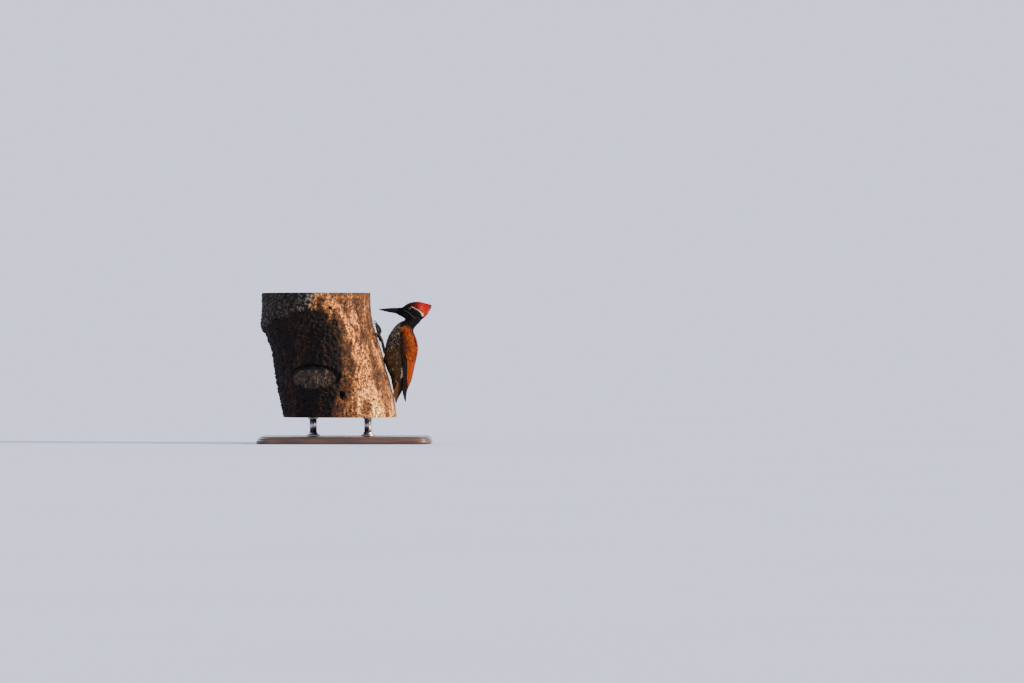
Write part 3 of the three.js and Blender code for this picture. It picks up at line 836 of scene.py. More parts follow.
def sow(faces, rng, closer):
    """Roots over some of the skin's faces, as dense as the coat asks there."""
    corners = skin_verts[faces]
    spacing = groom(corners.mean(axis=1))[1] * closer
    cross = np.cross(corners[:, 2] - corners[:, 0], corners[:, 3] - corners[:, 1])
    weight = 0.5 * np.linalg.norm(cross, axis=1) / spacing**2
    picked = rng.choice(len(faces), int(weight.sum() * TRIES), p=weight / weight.sum())
    s, t = rng.random((2, len(picked), 1))
    a, b, c, d = corners[picked].transpose(1, 0, 2)
    places = (a * (1 - s) + b * s) * (1 - t) + (d * (1 - s) + c * s) * t
    return places[thin_out(places, spacing[picked])]


def vary(rng, count, spread):
    return 1 + spread * rng.uniform(-1, 1, count)


def turned(directions, normals, angles):
    """Directions turned about the normals."""
    side = np.cross(normals, directions)
    return directions * np.cos(angles)[:, None] + side * np.sin(angles)[:, None]


def grow(
    coat, vane, roots, colour, rng, closer, bend=0.22, ruffle=0.11, heading=None, overhung=math.inf, least=0.3
):
    """Feathers from their roots, lying over the skin. colour gives each vane's colours from its visible end.

    A vane turns by no more than bend a step. ruffle is how far askew it may lie, in radians, and heading
    gives another way to lie. No feather starts where the skin faces the way the coat lies by more than
    overhung, as others reach over it, or where there is room for less than the least share of its length.
    """
    direction, normals = groom(roots)[0], nearest(skin_tree, roots)[1]
    open_skin = (direction * normals).sum(axis=1) < overhung
    roots, normals = roots[open_skin], normals[open_skin]
    direction, _, length, width, depth = groom(roots)
    depth = depth + fluff(roots)
    if heading is not None:
        direction = heading(roots)
    behind = smoothstep(0.45, 0.8, (direction * normals).sum(axis=1))
    direction = unit(direction + behind[:, None] * DOWN_HIND_FACES)
    direction = along_surface(direction, normals)
    direction = turned(direction, normals, rng.normal(0, ruffle, len(roots)))
    length = length * vary(rng, len(roots), 0.16)
    width = width * vary(rng, len(roots), 0.12) * (0.35 + 0.65 * closer)
    lines, ups, _ = walk(roots, direction, length, bend)
    room = room_along(lines, ups, depth)
    fits = room > least
    length = length * room
    laid = walk(roots[fits], direction[fits], length[fits], bend)
    dress(coat, vane, laid, (length[fits], width[fits], depth[fits]), colour, rng, 0.1)


def dress(coat, vane, laid, size, colour, rng, lift):
    """Vanes along lines, with their normals and headings. size is the length, width and depth of each.

    lift is how unevenly they stand off the skin.
    """
    lines, ups, heads = laid
    length, width, depth = size
    number = len(lines)
    share = vane.frayed(number, rng)
    middle = along_line(lines, share)
    up = unit(along_line(ups, share))
    side = np.cross(unit(along_line(heads, share)), up)
    half = width[:, None] / 2
    rise = depth * (1 + rng.uniform(-1, 1, number) * lift)
    roll = rng.normal(0, 0.07, (number, 1))
    height = rise[:, None] * (0.08 + 0.92 * share**0.85)
    height = height + half * (roll * vane.across - vane.camber * vane.u**2)
    height = height + vane.lens(share, 0.5)
    verts = middle + side * (half * vane.across)[..., None] + up * height[..., None]
    seen = along_line(lines, np.full((number, 1), SEEN_AT))[:, 0]
    colours = colour(seen, vane.u[None], vane.v[None], rng)
    coat.add(vane, verts, colours, np.stack([half[:, 0], length], axis=1), unwrap(lines[:, 0]))


# ---------------------------------------------------------------- how the markings fall on a vane
def shaded(colours, v):
    """Feathers are grey and downy towards their hidden roots, and are painted darker there: painted shade under
    the feathers over them.
    """
    return colours * (0.35 + 0.65 * smoothstep(0.15, 0.6, v))[..., None]


def edged(middle, edge, u, v, rim):
    """A vane of one colour with a border of another."""
    border = smoothstep(rim, 1.0, np.maximum(np.abs(u) ** 1.4, (v - 0.75) / 0.25))
    return mix(middle[:, None], edge[:, None], border)


def tinted(colours, rng, spread):
    """Each feather a little lighter or darker."""
    return colours * vary(rng, (len(colours), 1, 1), spread)


def head_colours(points, speckle):
    """The middle and the edge colour of the feathers of the head."""
    colour = head_colour(points, speckle)
    return colour, colour * 0.8


def pattern(colours, rim, spread):
    """What paints vanes in a part's colours. rim is where their border starts and spread how they differ."""

    def painted(seen, u, v, rng):
        middle, edge = colours(seen, rng.random(len(seen)))
        return tinted(shaded(edged(middle, edge, u, v, rim), v), rng, spread)

    return painted


head_pattern = pattern(head_colours, 0.55, 0.18)
body_pattern = pattern(body_colours, 0.3, 0.2)
covert_pattern = pattern(wing_colours, 0.45, 0.3)


FACE_VANE = Vane(3, 5, root=0.6, broad=0.4, tip=0.5, round_off=0.4, fray=0.15, camber=0.1, thick=0.16)
CREST_VANE = Vane(3, 6, root=0.7, broad=0.45, tip=0.35, round_off=0.3, fray=0.2, camber=0.12, thick=0.2)
NECK_VANE = Vane(5, 6, root=0.6, broad=0.5, tip=0.6, round_off=0.45, fray=0.18, camber=0.12, thick=0.18)
BODY_VANE = Vane(7, 7, root=0.5, broad=0.6, tip=0.78, round_off=0.42, fray=0.12, camber=0.14, thick=0.14)

feathers = feather_material()
face_middles = skin_verts[skin_faces].mean(axis=1)
face_nodes = node_of(face_middles)


def part_of_skin(*nodes, where=None):
    """The skin's faces that lie under some CAD nodes and, in millimetres, where a test says."""
    chosen = np.isin(face_nodes, nodes)
    if where is not None:
        chosen &= where(face_middles)
    return skin_faces[chosen]


def to_heel(roots):
    """Thigh feathers run down to the heel."""
    side = np.sign(roots[:, 1])
    return np.stack([np.full(len(roots), -0.78), -0.2 * side, np.full(len(roots), -0.6)], axis=1)


def plumage(name, slot, vane, colour, faces, seed, closer, **lie):
    """One piece of the coat. closer is how near together its roots are, as a share of the usual spacing."""
    coat = Coat(name, slot, feathers)
    rng = np.random.default_rng(seed)
    grow(coat, vane, sow(faces, rng, closer), colour, rng, closer, **lie)
    coat.build()


CROWN_HIND = 134  # behind this the crown's feathers lengthen into the crest
CREST_LAST_ROOT = 157.5  # the crest's point is made of the ends of feathers that start in front of it
LOW_BREAST = 180
BACK_FROM = 108  # the torso is the breast and belly in front of this, and the back behind it
COVERTS_FLOOR = 176  # the small coverts' roots lie above this height
plumage("feathers_face", "head_plumage", FACE_VANE, head_pattern,
        part_of_skin("head", where=lambda p: p[:, 0] < CROWN_HIND), 11, 0.68)
plumage("feathers_crest", "crest_plumage", CREST_VANE, head_pattern,
        np.concatenate([
            part_of_skin("crest", where=lambda p: p[:, 0] < CREST_LAST_ROOT),
            part_of_skin("head", where=lambda p: p[:, 0] >= CROWN_HIND),
        ]),
        12, 0.62, ruffle=0.08, bend=0.1, overhung=0.62, least=0.4)
plumage("feathers_neck", "head_plumage", NECK_VANE, body_pattern, part_of_skin("neck"), 13, 0.62)
plumage("feathers_breast", "body_plumage", BODY_VANE, body_pattern,
        part_of_skin("torso", where=lambda p: (p[:, 0] < BACK_FROM) & (p[:, 2] >= LOW_BREAST)), 14, 0.6)
plumage("feathers_belly", "body_plumage", BODY_VANE, body_pattern,
        part_of_skin("torso", where=lambda p: (p[:, 0] < BACK_FROM) & (p[:, 2] < LOW_BREAST)), 18, 0.68)
plumage("feathers_back", "body_plumage", BODY_VANE, body_pattern,
        part_of_skin("torso", where=lambda p: p[:, 0] >= BACK_FROM), 15, 0.66)
plumage("feathers_thighs", "body_plumage", NECK_VANE, body_pattern,
        part_of_skin("thigh_left", "thigh_right"), 16, 0.7, heading=to_heel)
plumage("coverts_small", "wing_plumage", BODY_VANE, covert_pattern,
        part_of_skin(*WINGS, where=lambda p: p[:, 2] > COVERTS_FLOOR), 17, 0.58)


# ---------------------------------------------------------------- charts: surfaces read from the CAD
class Chart:
    """A surface read from a CAD node as a grid. a runs from 0 to 1 down it and b from 0 to 1 across it."""

    def __init__(self, points, outward):
        self.points = points
        self.normals = unit(outward)
        self.spans = np.linalg.norm(np.diff(points, axis=1), axis=2).sum(axis=1)
        self.lengths = np.linalg.norm(np.diff(points[:, points.shape[1] // 2], axis=0), axis=1).sum()

    def read(self, grid, a, b):
        """The grid's value between its points, and in line with them past its sides."""
        rows, cols = grid.shape[:2]
        row, col = np.clip(a, 0, 1) * (rows - 1), b * (cols - 1)
        i = np.clip(row.astype(int), 0, rows - 2)
        j = np.clip(np.floor(col).astype(int), 0, cols - 2)
        s, t = (row - i)[..., None], (col - j)[..., None]
        near = grid[i, j] * (1 - t) + grid[i, j + 1] * t
        far = grid[i + 1, j] * (1 - t) + grid[i + 1, j + 1] * t
        return near * (1 - s) + far * s

    def at(self, a, b, lift):
        up = unit(self.read(self.normals, a, b))
        return self.read(self.points, a, b) + up * lift[..., None]

    def span(self, a):
        """How wide the surface is at a."""
        return np.interp(a, np.linspace(0, 1, len(self.spans)), self.spans)


def smooth_rows(grid, passes):
    """Softens a grid down its rows, keeping its first and last rows."""
    for _ in range(passes):
        grid[1:-1] = (grid[:-2] + 2 * grid[1:-1] + grid[2:]) / 4
    return grid


# A line inside the wings, from their tips to their shoulders: x, z.
WING_AXIS = np.array([(100.4, 78), (101, 101), (103.4, 131), (106.4, 163), (109, 195), (114.5, 224)])
WING_TOP = box_of("wing_left")[1][2] - 1.2
WING_TIP = box_of("wing_left")[0][2] + 0.8
WING_REACH = 60  # further than this from its axis, a level line is outside the wing
WING_ROWS, WING_COLS = 72, 24


def evenly(places, count):
    """Some points out of a row of them, evenly spaced by their number."""
    places = np.array(places)
    return points_between(np.linspace(0, len(places) - 1, count), np.arange(len(places)), places)


def wing_chart(name, side):
    """The outer face of a folded wing: a runs down it, and b from its hind edge to its front edge."""
    rows, ups = [], []
    for z in np.linspace(WING_TOP, WING_TIP, WING_ROWS):
        middle = np.array((np.interp(z, WING_AXIS[:, 1], WING_AXIS[:, 0]), 0, z))
        places, outs = [], []
        for degrees in np.arange(0, 110, 0.75):
            out = bearing(degrees, side)
            place = hit(NODE_TREES[name], middle + out * WING_REACH, -out)
            if place is not None:
                places.append(place)
                outs.append(out)
        rows.append(evenly(places, WING_COLS))
        ups.append(evenly(outs, WING_COLS))
    points = smooth_rows(np.array(rows), 6)
    normals = np.cross(np.gradient(points, axis=1), np.gradient(points, axis=0))
    facing = np.sign((normals * np.array(ups)).sum(axis=2, keepdims=True))
    return Chart(points, normals * facing)


def wing_a(z):
    """How far down the wing's chart a height is."""
    return (WING_TOP - z) / (WING_TOP - WING_TIP)


FLIGHT_VANE = Vane(9, 26, root=0.75, broad=0.3, tip=0.72, round_off=0.09, fray=0.012, camber=0.02, thick=0.32)
COVERT_VANE = Vane(9, 14, root=0.6, broad=0.55, tip=0.85, round_off=0.22, fray=0.04, camber=0.05, thick=0.26)


def flight_feather(coat, vane, chart, side, tract, rng):
    """A long feather of a wing. Its tract says where its ends are and how wide and deep it is."""
    (start_z, end_z), (start_b, end_b) = tract["z"], tract["b"]
    share = vane.frayed(1, rng)[0]
    a = wing_a(start_z + (end_z - start_z) * share)
    b = start_b + (end_b - start_b) * smoothstep(0, 1, share) ** tract.get("sweep", 1.0)
    half = np.minimum(tract["half"], chart.span(a) * tract["most"])
    spread = half * vane.across / chart.span(a)
    deep = np.interp(share, tract["v"], tract["deep"])
    shingle = tract["shingle"] * vane.u  # the front edge lies over the next feather's hind edge
    ridge = 0.16 * bell(vane.u, 0, 0.12) * (1 - share)
    lens = vane.lens(share, 0.6)
    verts = chart.at(a, b + spread, -deep + shingle - vane.camber * vane.u**2 + lens + ridge)
    colours = flight_colour(vane.u, vane.v, tract, rng)
    root = chart.at(a[:1], b[:1], np.zeros(1))
    sizes = np.array([[tract["half"], abs(end_z - start_z)]])
    coat.add(vane, verts[None], colours[None], sizes, unwrap(root), flip=side > 0)


def flight_colour(u, v, tract, rng):
    """Secondaries are gold on the web that shows, primaries black."""
    shown = smoothstep(-0.1, 0.25, u)
    if tract["kind"] == "secondary":
        gold = GOLD * rng.uniform(0.78, 0.98) * np.array((1.0, rng.uniform(0.85, 1.02), 0.8))
        base = mix(BROWN_BLACK * 1.5, gold, np.maximum(shown, tract["gold"]))
        worn = smoothstep(0.86, 1.0, np.maximum(np.abs(u), v)) * 0.35
        return mix(base, BROWN_BLACK * 3, worn)
    if tract["kind"] == "covert":
        gold = mix(ORANGE, GOLD, rng.uniform(0, 1)) * rng.uniform(0.55, 1.15)
        rim = smoothstep(0.6, 1.0, np.maximum(np.abs(u) ** 1.5, (v - 0.7) / 0.3))
        return mix(gold, gold * 0.45, rim)
    if tract["kind"] == "dark covert":
        tone = OLIVE * rng.uniform(0.14, 0.26)
        return mix(tone, tone * 0.5, smoothstep(0.6, 1.0, np.abs(u) ** 1.5))
    return mix(BLACK * rng.uniform(0.85, 1.2), BROWN_BLACK * 1.6, smoothstep(0.8, 1.0, u) * 0.4)


def wing_tracts():
    """The long feathers of a folded wing, those that lie deepest first."""
    tracts = []
    ends = (
        (88, 0.80), (80.5, 0.66), (77.4, 0.50), (79.5, 0.36),
        (88, 0.32), (97.5, 0.30), (103.5, 0.30), (109, 0.35),
    )
    for i, (tip, tip_b) in enumerate(ends):  # primaries, the outermost first
        share = i / (len(ends) - 1)
        tracts.append(dict(
            kind="primary",
            z=(172, tip),
            b=(0.94 - 0.2 * share, tip_b),
            sweep=1.5,
            half=4.6, most=0.68, v=(0, 0.3, 0.8, 1), deep=(2.2, 1.25, 0.9, 0.4), shingle=0.3,
        ))
    tips = (118, 114.5, 111.5, 109, 107, 105, 103.5, 106, 114)
    for i, tip in enumerate(tips):  # secondaries and then tertials, the outermost first
        share = i / (len(tips) - 1)
        tracts.append(dict(
            kind="secondary",
            z=(174, tip),
            b=(0.64 - 0.575 * share, 0.60 - 0.50 * share),
            half=4.8, most=0.3, v=(0, 0.25, 0.5, 1), deep=(2.2, 1.2, 0.6, 0.5), shingle=0.3,
            gold=0.0 if i < len(tips) - 3 else 0.9,
        ))
    for i in range(5):  # primary coverts and the alula
        share = i / 4
        tracts.append(dict(
            kind="dark covert",
            z=(196 - 4 * share, 160 + 7 * share),
            b=(0.975 - 0.03 * share, 0.965 - 0.12 * share),
            half=3.6, most=0.2, v=(0, 0.4, 1), deep=(1.6, 0.8, 0.25), shingle=0.25,
        ))
    for i in range(10):  # greater coverts
        share = i / 9
        tracts.append(dict(
            kind="covert",
            z=(183 + 2 * share, 158 - 5 * math.sin(share * math.pi) + 3 * share),
            b=(0.76 - 0.69 * share, 0.70 - 0.64 * share),
            half=4.6, most=0.2, v=(0, 0.4, 1), deep=(2.0, 0.9, 0.15), shingle=0.3,
        ))
    return tracts


for name, side in SIDES.items():
    coat = Coat(f"flight_{name}", "wing_plumage", feathers)
    chart = wing_chart(f"wing_{name}", side)
    rng = np.random.default_rng(31)
    for tract in wing_tracts():
        vane = FLIGHT_VANE if tract["kind"] in ("primary", "secondary") else COVERT_VANE
        flight_feather(coat, vane, chart, side, tract, rng)
    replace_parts(coat.build(), f"wing_{name}")


# ---------------------------------------------------------------- tail
TAIL_ROWS, TAIL_COLS = 40, 25
TAIL_SWEEP = np.arange(-18.5, 18.51, 0.25)  # where the tail is looked for across its middle line


def tail_chart():
    """The upper face of the tail: a runs from its root to its tip and b from its left edge to its right."""
    tree = cad_tree("tail")
    low, high = box_of("tail")
    corners = cad_arrays("tail")[0]
    lowest = corners[corners[:, 2].argmin()]
    root, tip = np.array((high[0] - 1.5, 0, high[2] - 4)), np.array((lowest[0], 0, low[2] + 0.6))
    line = unit(tip - root)
    outward = np.array((-line[2], 0, line[0]))
    rows = []
    for a in np.linspace(0, 1, TAIL_ROWS):
        over = root + (tip - root) * a + outward * 25
        found = [hit(tree, over + (0, y, 0), -outward) for y in TAIL_SWEEP]
        rows.append(evenly([place for place in found if place is not None], TAIL_COLS))
    points = smooth_rows(np.array(rows), 4)
    return Chart(points, np.tile(outward, (*points.shape[:2], 1)))


TAIL = tail_chart()
TAIL_VANE = Vane(9, 30, root=0.7, broad=0.4, tip=0.44, round_off=0.12, fray=0.03, camber=0.1, thick=0.4)
# The tail's colour: the worn brown of its black feathers and a painted warm sheen of sunlight on them.
TAIL_BROWN_AND_SHEEN = np.array((0.074, 0.032, 0.0138))
TAIL_REACH = (0.998, 0.995, 0.985, 0.97, 0.94, 0.86)  # how far down the tail each pair of feathers goes
TAIL_HALF = (4.0, 4.2, 4.2, 4.1, 3.8, 2.6)  # half the width of each pair's feathers
TAIL_FAN = (0.055, 0.15, 0.245, 0.33, 0.405, 0.46)  # how far from the middle each pair lies, across the tail


def tail_feather(coat, pair, side, rng):
    """One feather of a pair, the middle pair being 0. The middle ones lie over the outer ones."""
    vane = TAIL_VANE
    share = vane.frayed(1, rng)[0]
    a = share * TAIL_REACH[pair]
    fan = TAIL_FAN[pair]
    b = 0.5 + side * (0.35 * fan + 0.65 * fan * smoothstep(0, 0.4, a))
    half = TAIL_HALF[pair]
    half_here = np.minimum(half, 0.5 * TAIL.span(a) * 0.5 + 0.7)
    spread = side * half_here * vane.across / np.maximum(TAIL.span(a), 1.5)
    deep = 0.35 + 0.34 * pair + 0.25 * vane.u
    shaft = 0.45 * bell(vane.u, 0, 0.1) * (1 - 0.5 * share)
    lens = vane.lens(share, 0.4)
    verts = TAIL.at(a, b + spread, -deep + lens + shaft * (vane.over >= 0) - vane.camber * vane.u**2)
    tone = TAIL_BROWN_AND_SHEEN * rng.uniform(0.8, 1.15)
    bars = smoothstep(0.25, 0.75, np.sin(vane.v * 46 + pair)) * smoothstep(0.1, 0.5, np.abs(vane.u)) * 0.5
    colour = mix(tone, TAIL_BROWN_AND_SHEEN * 2.2, bars * (pair > 2))
    colour = mix(colour, TAIL_BROWN_AND_SHEEN * 1.9, smoothstep(0.75, 1.0, vane.v) * 0.6)
    colour = mix(colour, BLACK, bell(vane.u, 0, 0.14))
    sizes = np.array([[half, TAIL.lengths * TAIL_REACH[pair]]])
    root = np.array([[a[0] + 0.02 * pair, b[0]]])
    coat.add(vane, verts[None], colour[None], sizes, root, flip=side < 0)


tail_coat = Coat("tail_feathers", "tail_plumage", feathers)
tail_rng = np.random.default_rng(41)
for pair in reversed(range(len(TAIL_REACH))):
    for side in SIDES.values():
        tail_feather(tail_coat, pair, side, tail_rng)
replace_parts(tail_coat.build(), "tail")


# ---------------------------------------------------------------- lofts and tubes
def loft(sections):
    """A closed form through rings (M, N, 3), with its ends filled. Returns vertices and a list of faces."""
    count, around, _ = sections.shape
    grid = np.arange(count * around).reshape(count, around)
    faces = quads(closed(grid)).tolist()
    faces.append(grid[0][::-1].tolist())
    faces.append(grid[-1].tolist())
    return sections.reshape(-1, 3), faces


def smooth_path(points, count):
    """Points evenly along a Catmull-Rom curve, their places among the points it is drawn through and how
    far on each is."""
    points = np.asarray(points, float)
    padded = np.concatenate([[2 * points[0] - points[1]], points, [2 * points[-1] - points[-2]]])
    spot = np.linspace(0, len(points) - 1, 40 * count)
    i = np.minimum(spot.astype(int), len(points) - 2)
    t = (spot - i)[:, None]
    p0, p1, p2, p3 = (padded[i + k] for k in range(4))
    square, cube = 2 * p0 - 5 * p1 + 4 * p2 - p3, 3 * p1 - p0 - 3 * p2 + p3
    curve = 0.5 * (2 * p1 + (p2 - p0) * t + square * t**2 + cube * t**3)
    gone = np.concatenate([[0], np.cumsum(np.linalg.norm(np.diff(curve, axis=0), axis=1))])
    even = np.linspace(0, gone[-1], count)
    return points_between(even, gone, curve), np.interp(even, gone, spot), even


def frames_along(path, start_side):
    """Two directions across a path at each point, turning as little as they can."""
    ahead = unit(np.gradient(path, axis=0))
    side = along_surface(np.asarray(start_side, float)[None], ahead[:1])[0]
    sides = []
    for tangent in ahead:
        side = side - tangent * (side @ tangent)
        side = side / np.linalg.norm(side)
        sides.append(side)
    sides = np.array(sides)
    return sides, np.cross(ahead, sides)


def tube(points, radii, count, around, relief, start_side):
    """A tube whose radius is multiplied by relief(millimetres along, angle). Angle 0 is the starting side."""
    path, spot, gone = smooth_path(points, count)
    radius = np.interp(spot, np.arange(len(radii)), radii)
    sides, ups = frames_along(path, start_side)
    angle = circle(around)
    swell = relief(gone[:, None], angle[None]) * radius[:, None]
    ring = sides[:, None] * np.cos(angle)[None, :, None] + ups[:, None] * np.sin(angle)[None, :, None]
    return loft(path[:, None] + ring * swell[..., None])


def joined(parts):
    """Several (vertices, faces) as one."""
    verts, faces, base = [], [], 0
    for part_verts, part_faces in parts:
        verts.append(part_verts)
        faces += [[base + i for i in face] for face in part_faces]
        base += len(part_verts)
    return np.concatenate(verts), faces


# ---------------------------------------------------------------- bill
BILL_ROOT = (100.2, 252.2)
BILL_TIP_Z = 254.3
BILL = {"slant": math.radians(30), "width": (5.2, 0.9), "blunt": 0.55, "sunk": 0.1}
MANDIBLE = {"bill_upper": (1, 4.7, 1.9), "bill_lower": (-1, 4.4, 1.7)}  # up or down, depth, taper
BILL_RINGS, BILL_CORNERS, BILL_FLOOR = 100, 25, 9  # rings along it, and points over it and under it


def mandible(node):
    """One half of the chisel bill, from inside the face to its tip."""
    tip_x = box_of(node)[0][0]
    out, depth, taper = MANDIBLE[node]
    angle = np.linspace(0, math.pi, BILL_CORNERS)
    from_top = np.abs(angle - math.pi / 2)
    rings = []
    for s in np.linspace(-BILL["sunk"], 1, BILL_RINGS):
        on = max(s, 0)
        edge_z = BILL_ROOT[1] + (BILL_TIP_Z - BILL_ROOT[1]) * s
        height = depth * (1 - on**taper) + BILL["blunt"]
        width = BILL["width"][0] + (BILL["width"][1] - BILL["width"][0]) * on**0.8
        culmen = 1 + 0.10 * bell(from_top, 0, 0.16)
        side_ridge = 1 + 0.05 * bell(from_top, 0.82, 0.09) * (1 - s)
        groove = 1 - 0.05 * bell(from_top, 1.0, 0.08) * (1 - s)
        shape = culmen * side_ridge * groove / 1.08
        rise = height * np.sin(angle) ** 0.9 * shape
        tomium = 1 - 0.07 * bell(rise, 0, 0.22)  # the cutting edge, drawn in a little
        y = width * np.cos(angle) * shape * tomium
        floor_y = np.linspace(y[-1], y[0], BILL_FLOOR)[1:-1]
        y = np.concatenate([y, floor_y])
        rise = np.concatenate([rise, np.zeros(len(floor_y))])
        x = BILL_ROOT[0] + (tip_x - BILL_ROOT[0]) * s + math.tan(BILL["slant"]) * out * rise * (1 - s)
        ring = np.stack([x, y, edge_z + out * rise], axis=1)
        rings.append(ring if out > 0 else ring[::-1])
    rings = np.array(rings)
    if out > 0:
        rings = with_nostrils(rings)
    return loft(rings)


def with_nostrils(rings):
    """Presses a slit into each side of the upper half, near its root."""
    middle = np.array((BILL_ROOT[0] - 5.0, BILL_ROOT[1] + 2.2))
    gap = (rings[..., [0, 2]] - middle) / (2.6, 0.55)
    pit = np.exp(-(gap**2).sum(axis=-1)) * 0.8
    rings[..., 1] -= np.sign(rings[..., 1]) * pit * (np.abs(rings[..., 1]) > 1.5)
    return rings


horn = horn_material("bill_horn", (0.0030, 0.0026, 0.0024), (0.0095, 0.0080, 0.0072), 0.46)
for node in MANDIBLE:
    bill = make_object(f"{node}_fine", *mandible(node), horn)
    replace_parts(bill, node)


TUFT_COUNT = 320
FACE_WIDE, FACE_TALL = 5.4, 5.9  # half the width and height of the face round the bill's root


def nasal_tufts(rng):
    """Short stiff feathers that lie forward over the bill's root, all round it."""
    angle = rng.uniform(0, 2 * math.pi, TUFT_COUNT)
    c, s = np.cos(angle)[:, None], np.sin(angle)[:, None]
    length = np.interp(s[:, 0], (-1, -0.2, 0.5, 1), (2.6, 3.2, 5.6, 4.2)) * vary(rng, TUFT_COUNT, 0.3)
    along = np.linspace(0, 1, LINE_STEPS + 1)
    back = rng.uniform(0.6, 2.4, TUFT_COUNT)[:, None]
    ahead = length[:, None] * along - back
    reach = 1.02 - 0.035 * (ahead + back) - 0.02 * back
    slanted = math.tan(BILL["slant"]) * FACE_TALL * s
    x = BILL_ROOT[0] + slanted * np.linspace(1, 0.8, LINE_STEPS + 1) - ahead
    lines = np.stack([x, FACE_WIDE * c * reach, BILL_ROOT[1] + FACE_TALL * s * reach], axis=2)
    heads = unit(np.gradient(lines, axis=1))
    ups = np.broadcast_to(np.stack([0 * c, c / FACE_WIDE, s / FACE_TALL], axis=2), lines.shape)
    ups = along_surface(unit(ups.reshape(-1, 3)), heads.reshape(-1, 3)).reshape(lines.shape)
    size = (length, vary(rng, TUFT_COUNT, 0.2) * 0.8, np.full(TUFT_COUNT, 0.35))
    coat = Coat("feathers_nasal", "head_plumage", feathers)
    dress(coat, FACE_VANE, (lines, ups, heads), size, head_pattern, rng, 0.6)
    coat.build()


nasal_tufts(np.random.default_rng(19))


# ---------------------------------------------------------------- eyes and lids
def eye_material():
    """A black pupil in a dark red-brown iris with paler rays, and a black rim."""
    s = Shader("eye", 0.06, specular=0.22)
    ring = s.painted("Ring")
    rays = s.noise(1500, 3, 0.6)
    iris = s.blend(s.ramp(rays, (0.35, 0.0), (0.65, 1.0)), (0.014, 0.005, 0.003), (0.045, 0.013, 0.007))
    pupil = s.ramp(ring, (0.40, 1.0), (0.44, 0.0))
    rim = s.ramp(ring, (0.70, 0.0), (0.80, 1.0))
    colour = s.blend(pupil, iris, (0.003, 0.003, 0.003))
    return s.finish(s.blend(rim, colour, (0.006, 0.005, 0.005)))


def lid_material():
    """Dark bare skin with fine wrinkles."""
    s = Shader("lid", 0.6, specular=0.12)
    wrinkles = s.noise(2200, 4, 0.6)
    colour = s.ramp(wrinkles, (0.35, (0.004, 0.004, 0.0045)), (0.7, (0.016, 0.015, 0.016)))
    return s.finish(colour, normal=s.bump(wrinkles, 0.00012, 0.7))


EYE_CORNERS = 56


def eye_middle(side):
    return np.array((EYE["x"], side * EYE["out"], EYE["z"]))


def eye_rings(side, profile):
    """Rings round an eye's axis. Each is a distance from the axis and one out, or one out for each corner."""
    angle = circle(EYE_CORNERS)
    rings = [
        np.stack([far * np.cos(angle), side * np.full_like(angle, out), far * np.sin(angle)], axis=1)
        for far, out in profile
    ]
    return eye_middle(side) + np.array(rings)


def eyeball(name, side, material):
    turn = np.linspace(0.02, math.pi - 0.02, 40)
    rings = eye_rings(side, [(EYE["radius"] * math.sin(t), EYE["radius"] * math.cos(t)) for t in turn])
    verts, faces = loft(rings if side > 0 else rings[:, ::-1])
    ball = make_object(f"{name}_fine", verts, faces, material)
    from_middle = verts - eye_middle(side)
    off_axis = np.hypot(from_middle[:, 0], from_middle[:, 2]) / EYE["radius"]
    behind = from_middle[:, 1] * side < 0
    paint(ball, "Ring", np.where(behind, 1.0, off_axis)[:, None])
    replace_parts(ball, name)


LID_OPEN = 0.78  # how far the lids' edge is from the eye's axis, as a share of the ball
LID_BROAD = 0.55  # how far the lids run out past the ball
LID_CREST = 0.42  # how far the lids' rim stands off the ball


def lids(name, side, material):
    """A thin ring of bare skin that holds the ball and runs out under the feathers."""
    open_to = LID_OPEN * EYE["radius"]
    far = EYE["radius"] + LID_BROAD
    outer = []
    for t in circle(EYE_CORNERS):
        spot = eye_middle(side) + np.array((far * math.cos(t), 0, far * math.sin(t)))
        place = hit(skin_tree, spot + np.array((0, side * 12, 0)), (0, -side, 0))
        outer.append(side * place[1] - EYE["out"] if place is not None else 0.0)
    outer = np.array(outer)
    on_ball = math.sqrt(EYE["radius"] ** 2 - open_to**2)
    crest, brim = on_ball + LID_CREST, open_to * 1.07
    profile = [(open_to * 1.02, on_ball - 0.5), (open_to * 0.985, on_ball + 0.02), (open_to, on_ball + 0.30)]
    profile.append((brim, crest))
    for share in (0.2, 0.4, 0.6, 0.8, 1.0):
        fold = 0.10 * math.sin(share * 14)
        profile.append((brim + (far - brim) * share, outer + (crest - outer) * (1 - share) ** 1.3 + fold))
    profile += [(far, outer - 0.9), (open_to * 1.3, on_ball - 1.2)]
    grid = np.arange(len(profile) * EYE_CORNERS).reshape(len(profile), EYE_CORNERS)
    faces = quads(closed(np.concatenate([grid, grid[:1]])))
    verts = eye_rings(side, profile).reshape(-1, 3)
    obj = make_object(f"lids_{name}", verts, faces if side < 0 else faces[:, ::-1], material)


ball_stuff, lid_stuff = eye_material(), lid_material()
for name, side in SIDES.items():
    eyeball(f"eye_{name}", side, ball_stuff)
    lids(name, side, lid_stuff)


# ---------------------------------------------------------------- the trunk, as the CAD has it
perch_tree = cad_tree("perch_trunk")
PERCH_LOW, PERCH_HIGH = box_of("perch_trunk")
PERCH_REACH = 200  # further than this from its axis, a level line is outside the trunk


def trunk_axis(z):
    """The middle of the trunk at a height, in x."""
    z = min(max(z, PERCH_LOW[2] + 0.5), PERCH_HIGH[2] - 0.5)
    right = hit(perch_tree, (300, 0, z), (-1, 0, 0))
    left = hit(perch_tree, (-300, 0, z), (1, 0, 0))
    return (right[0] + left[0]) / 2


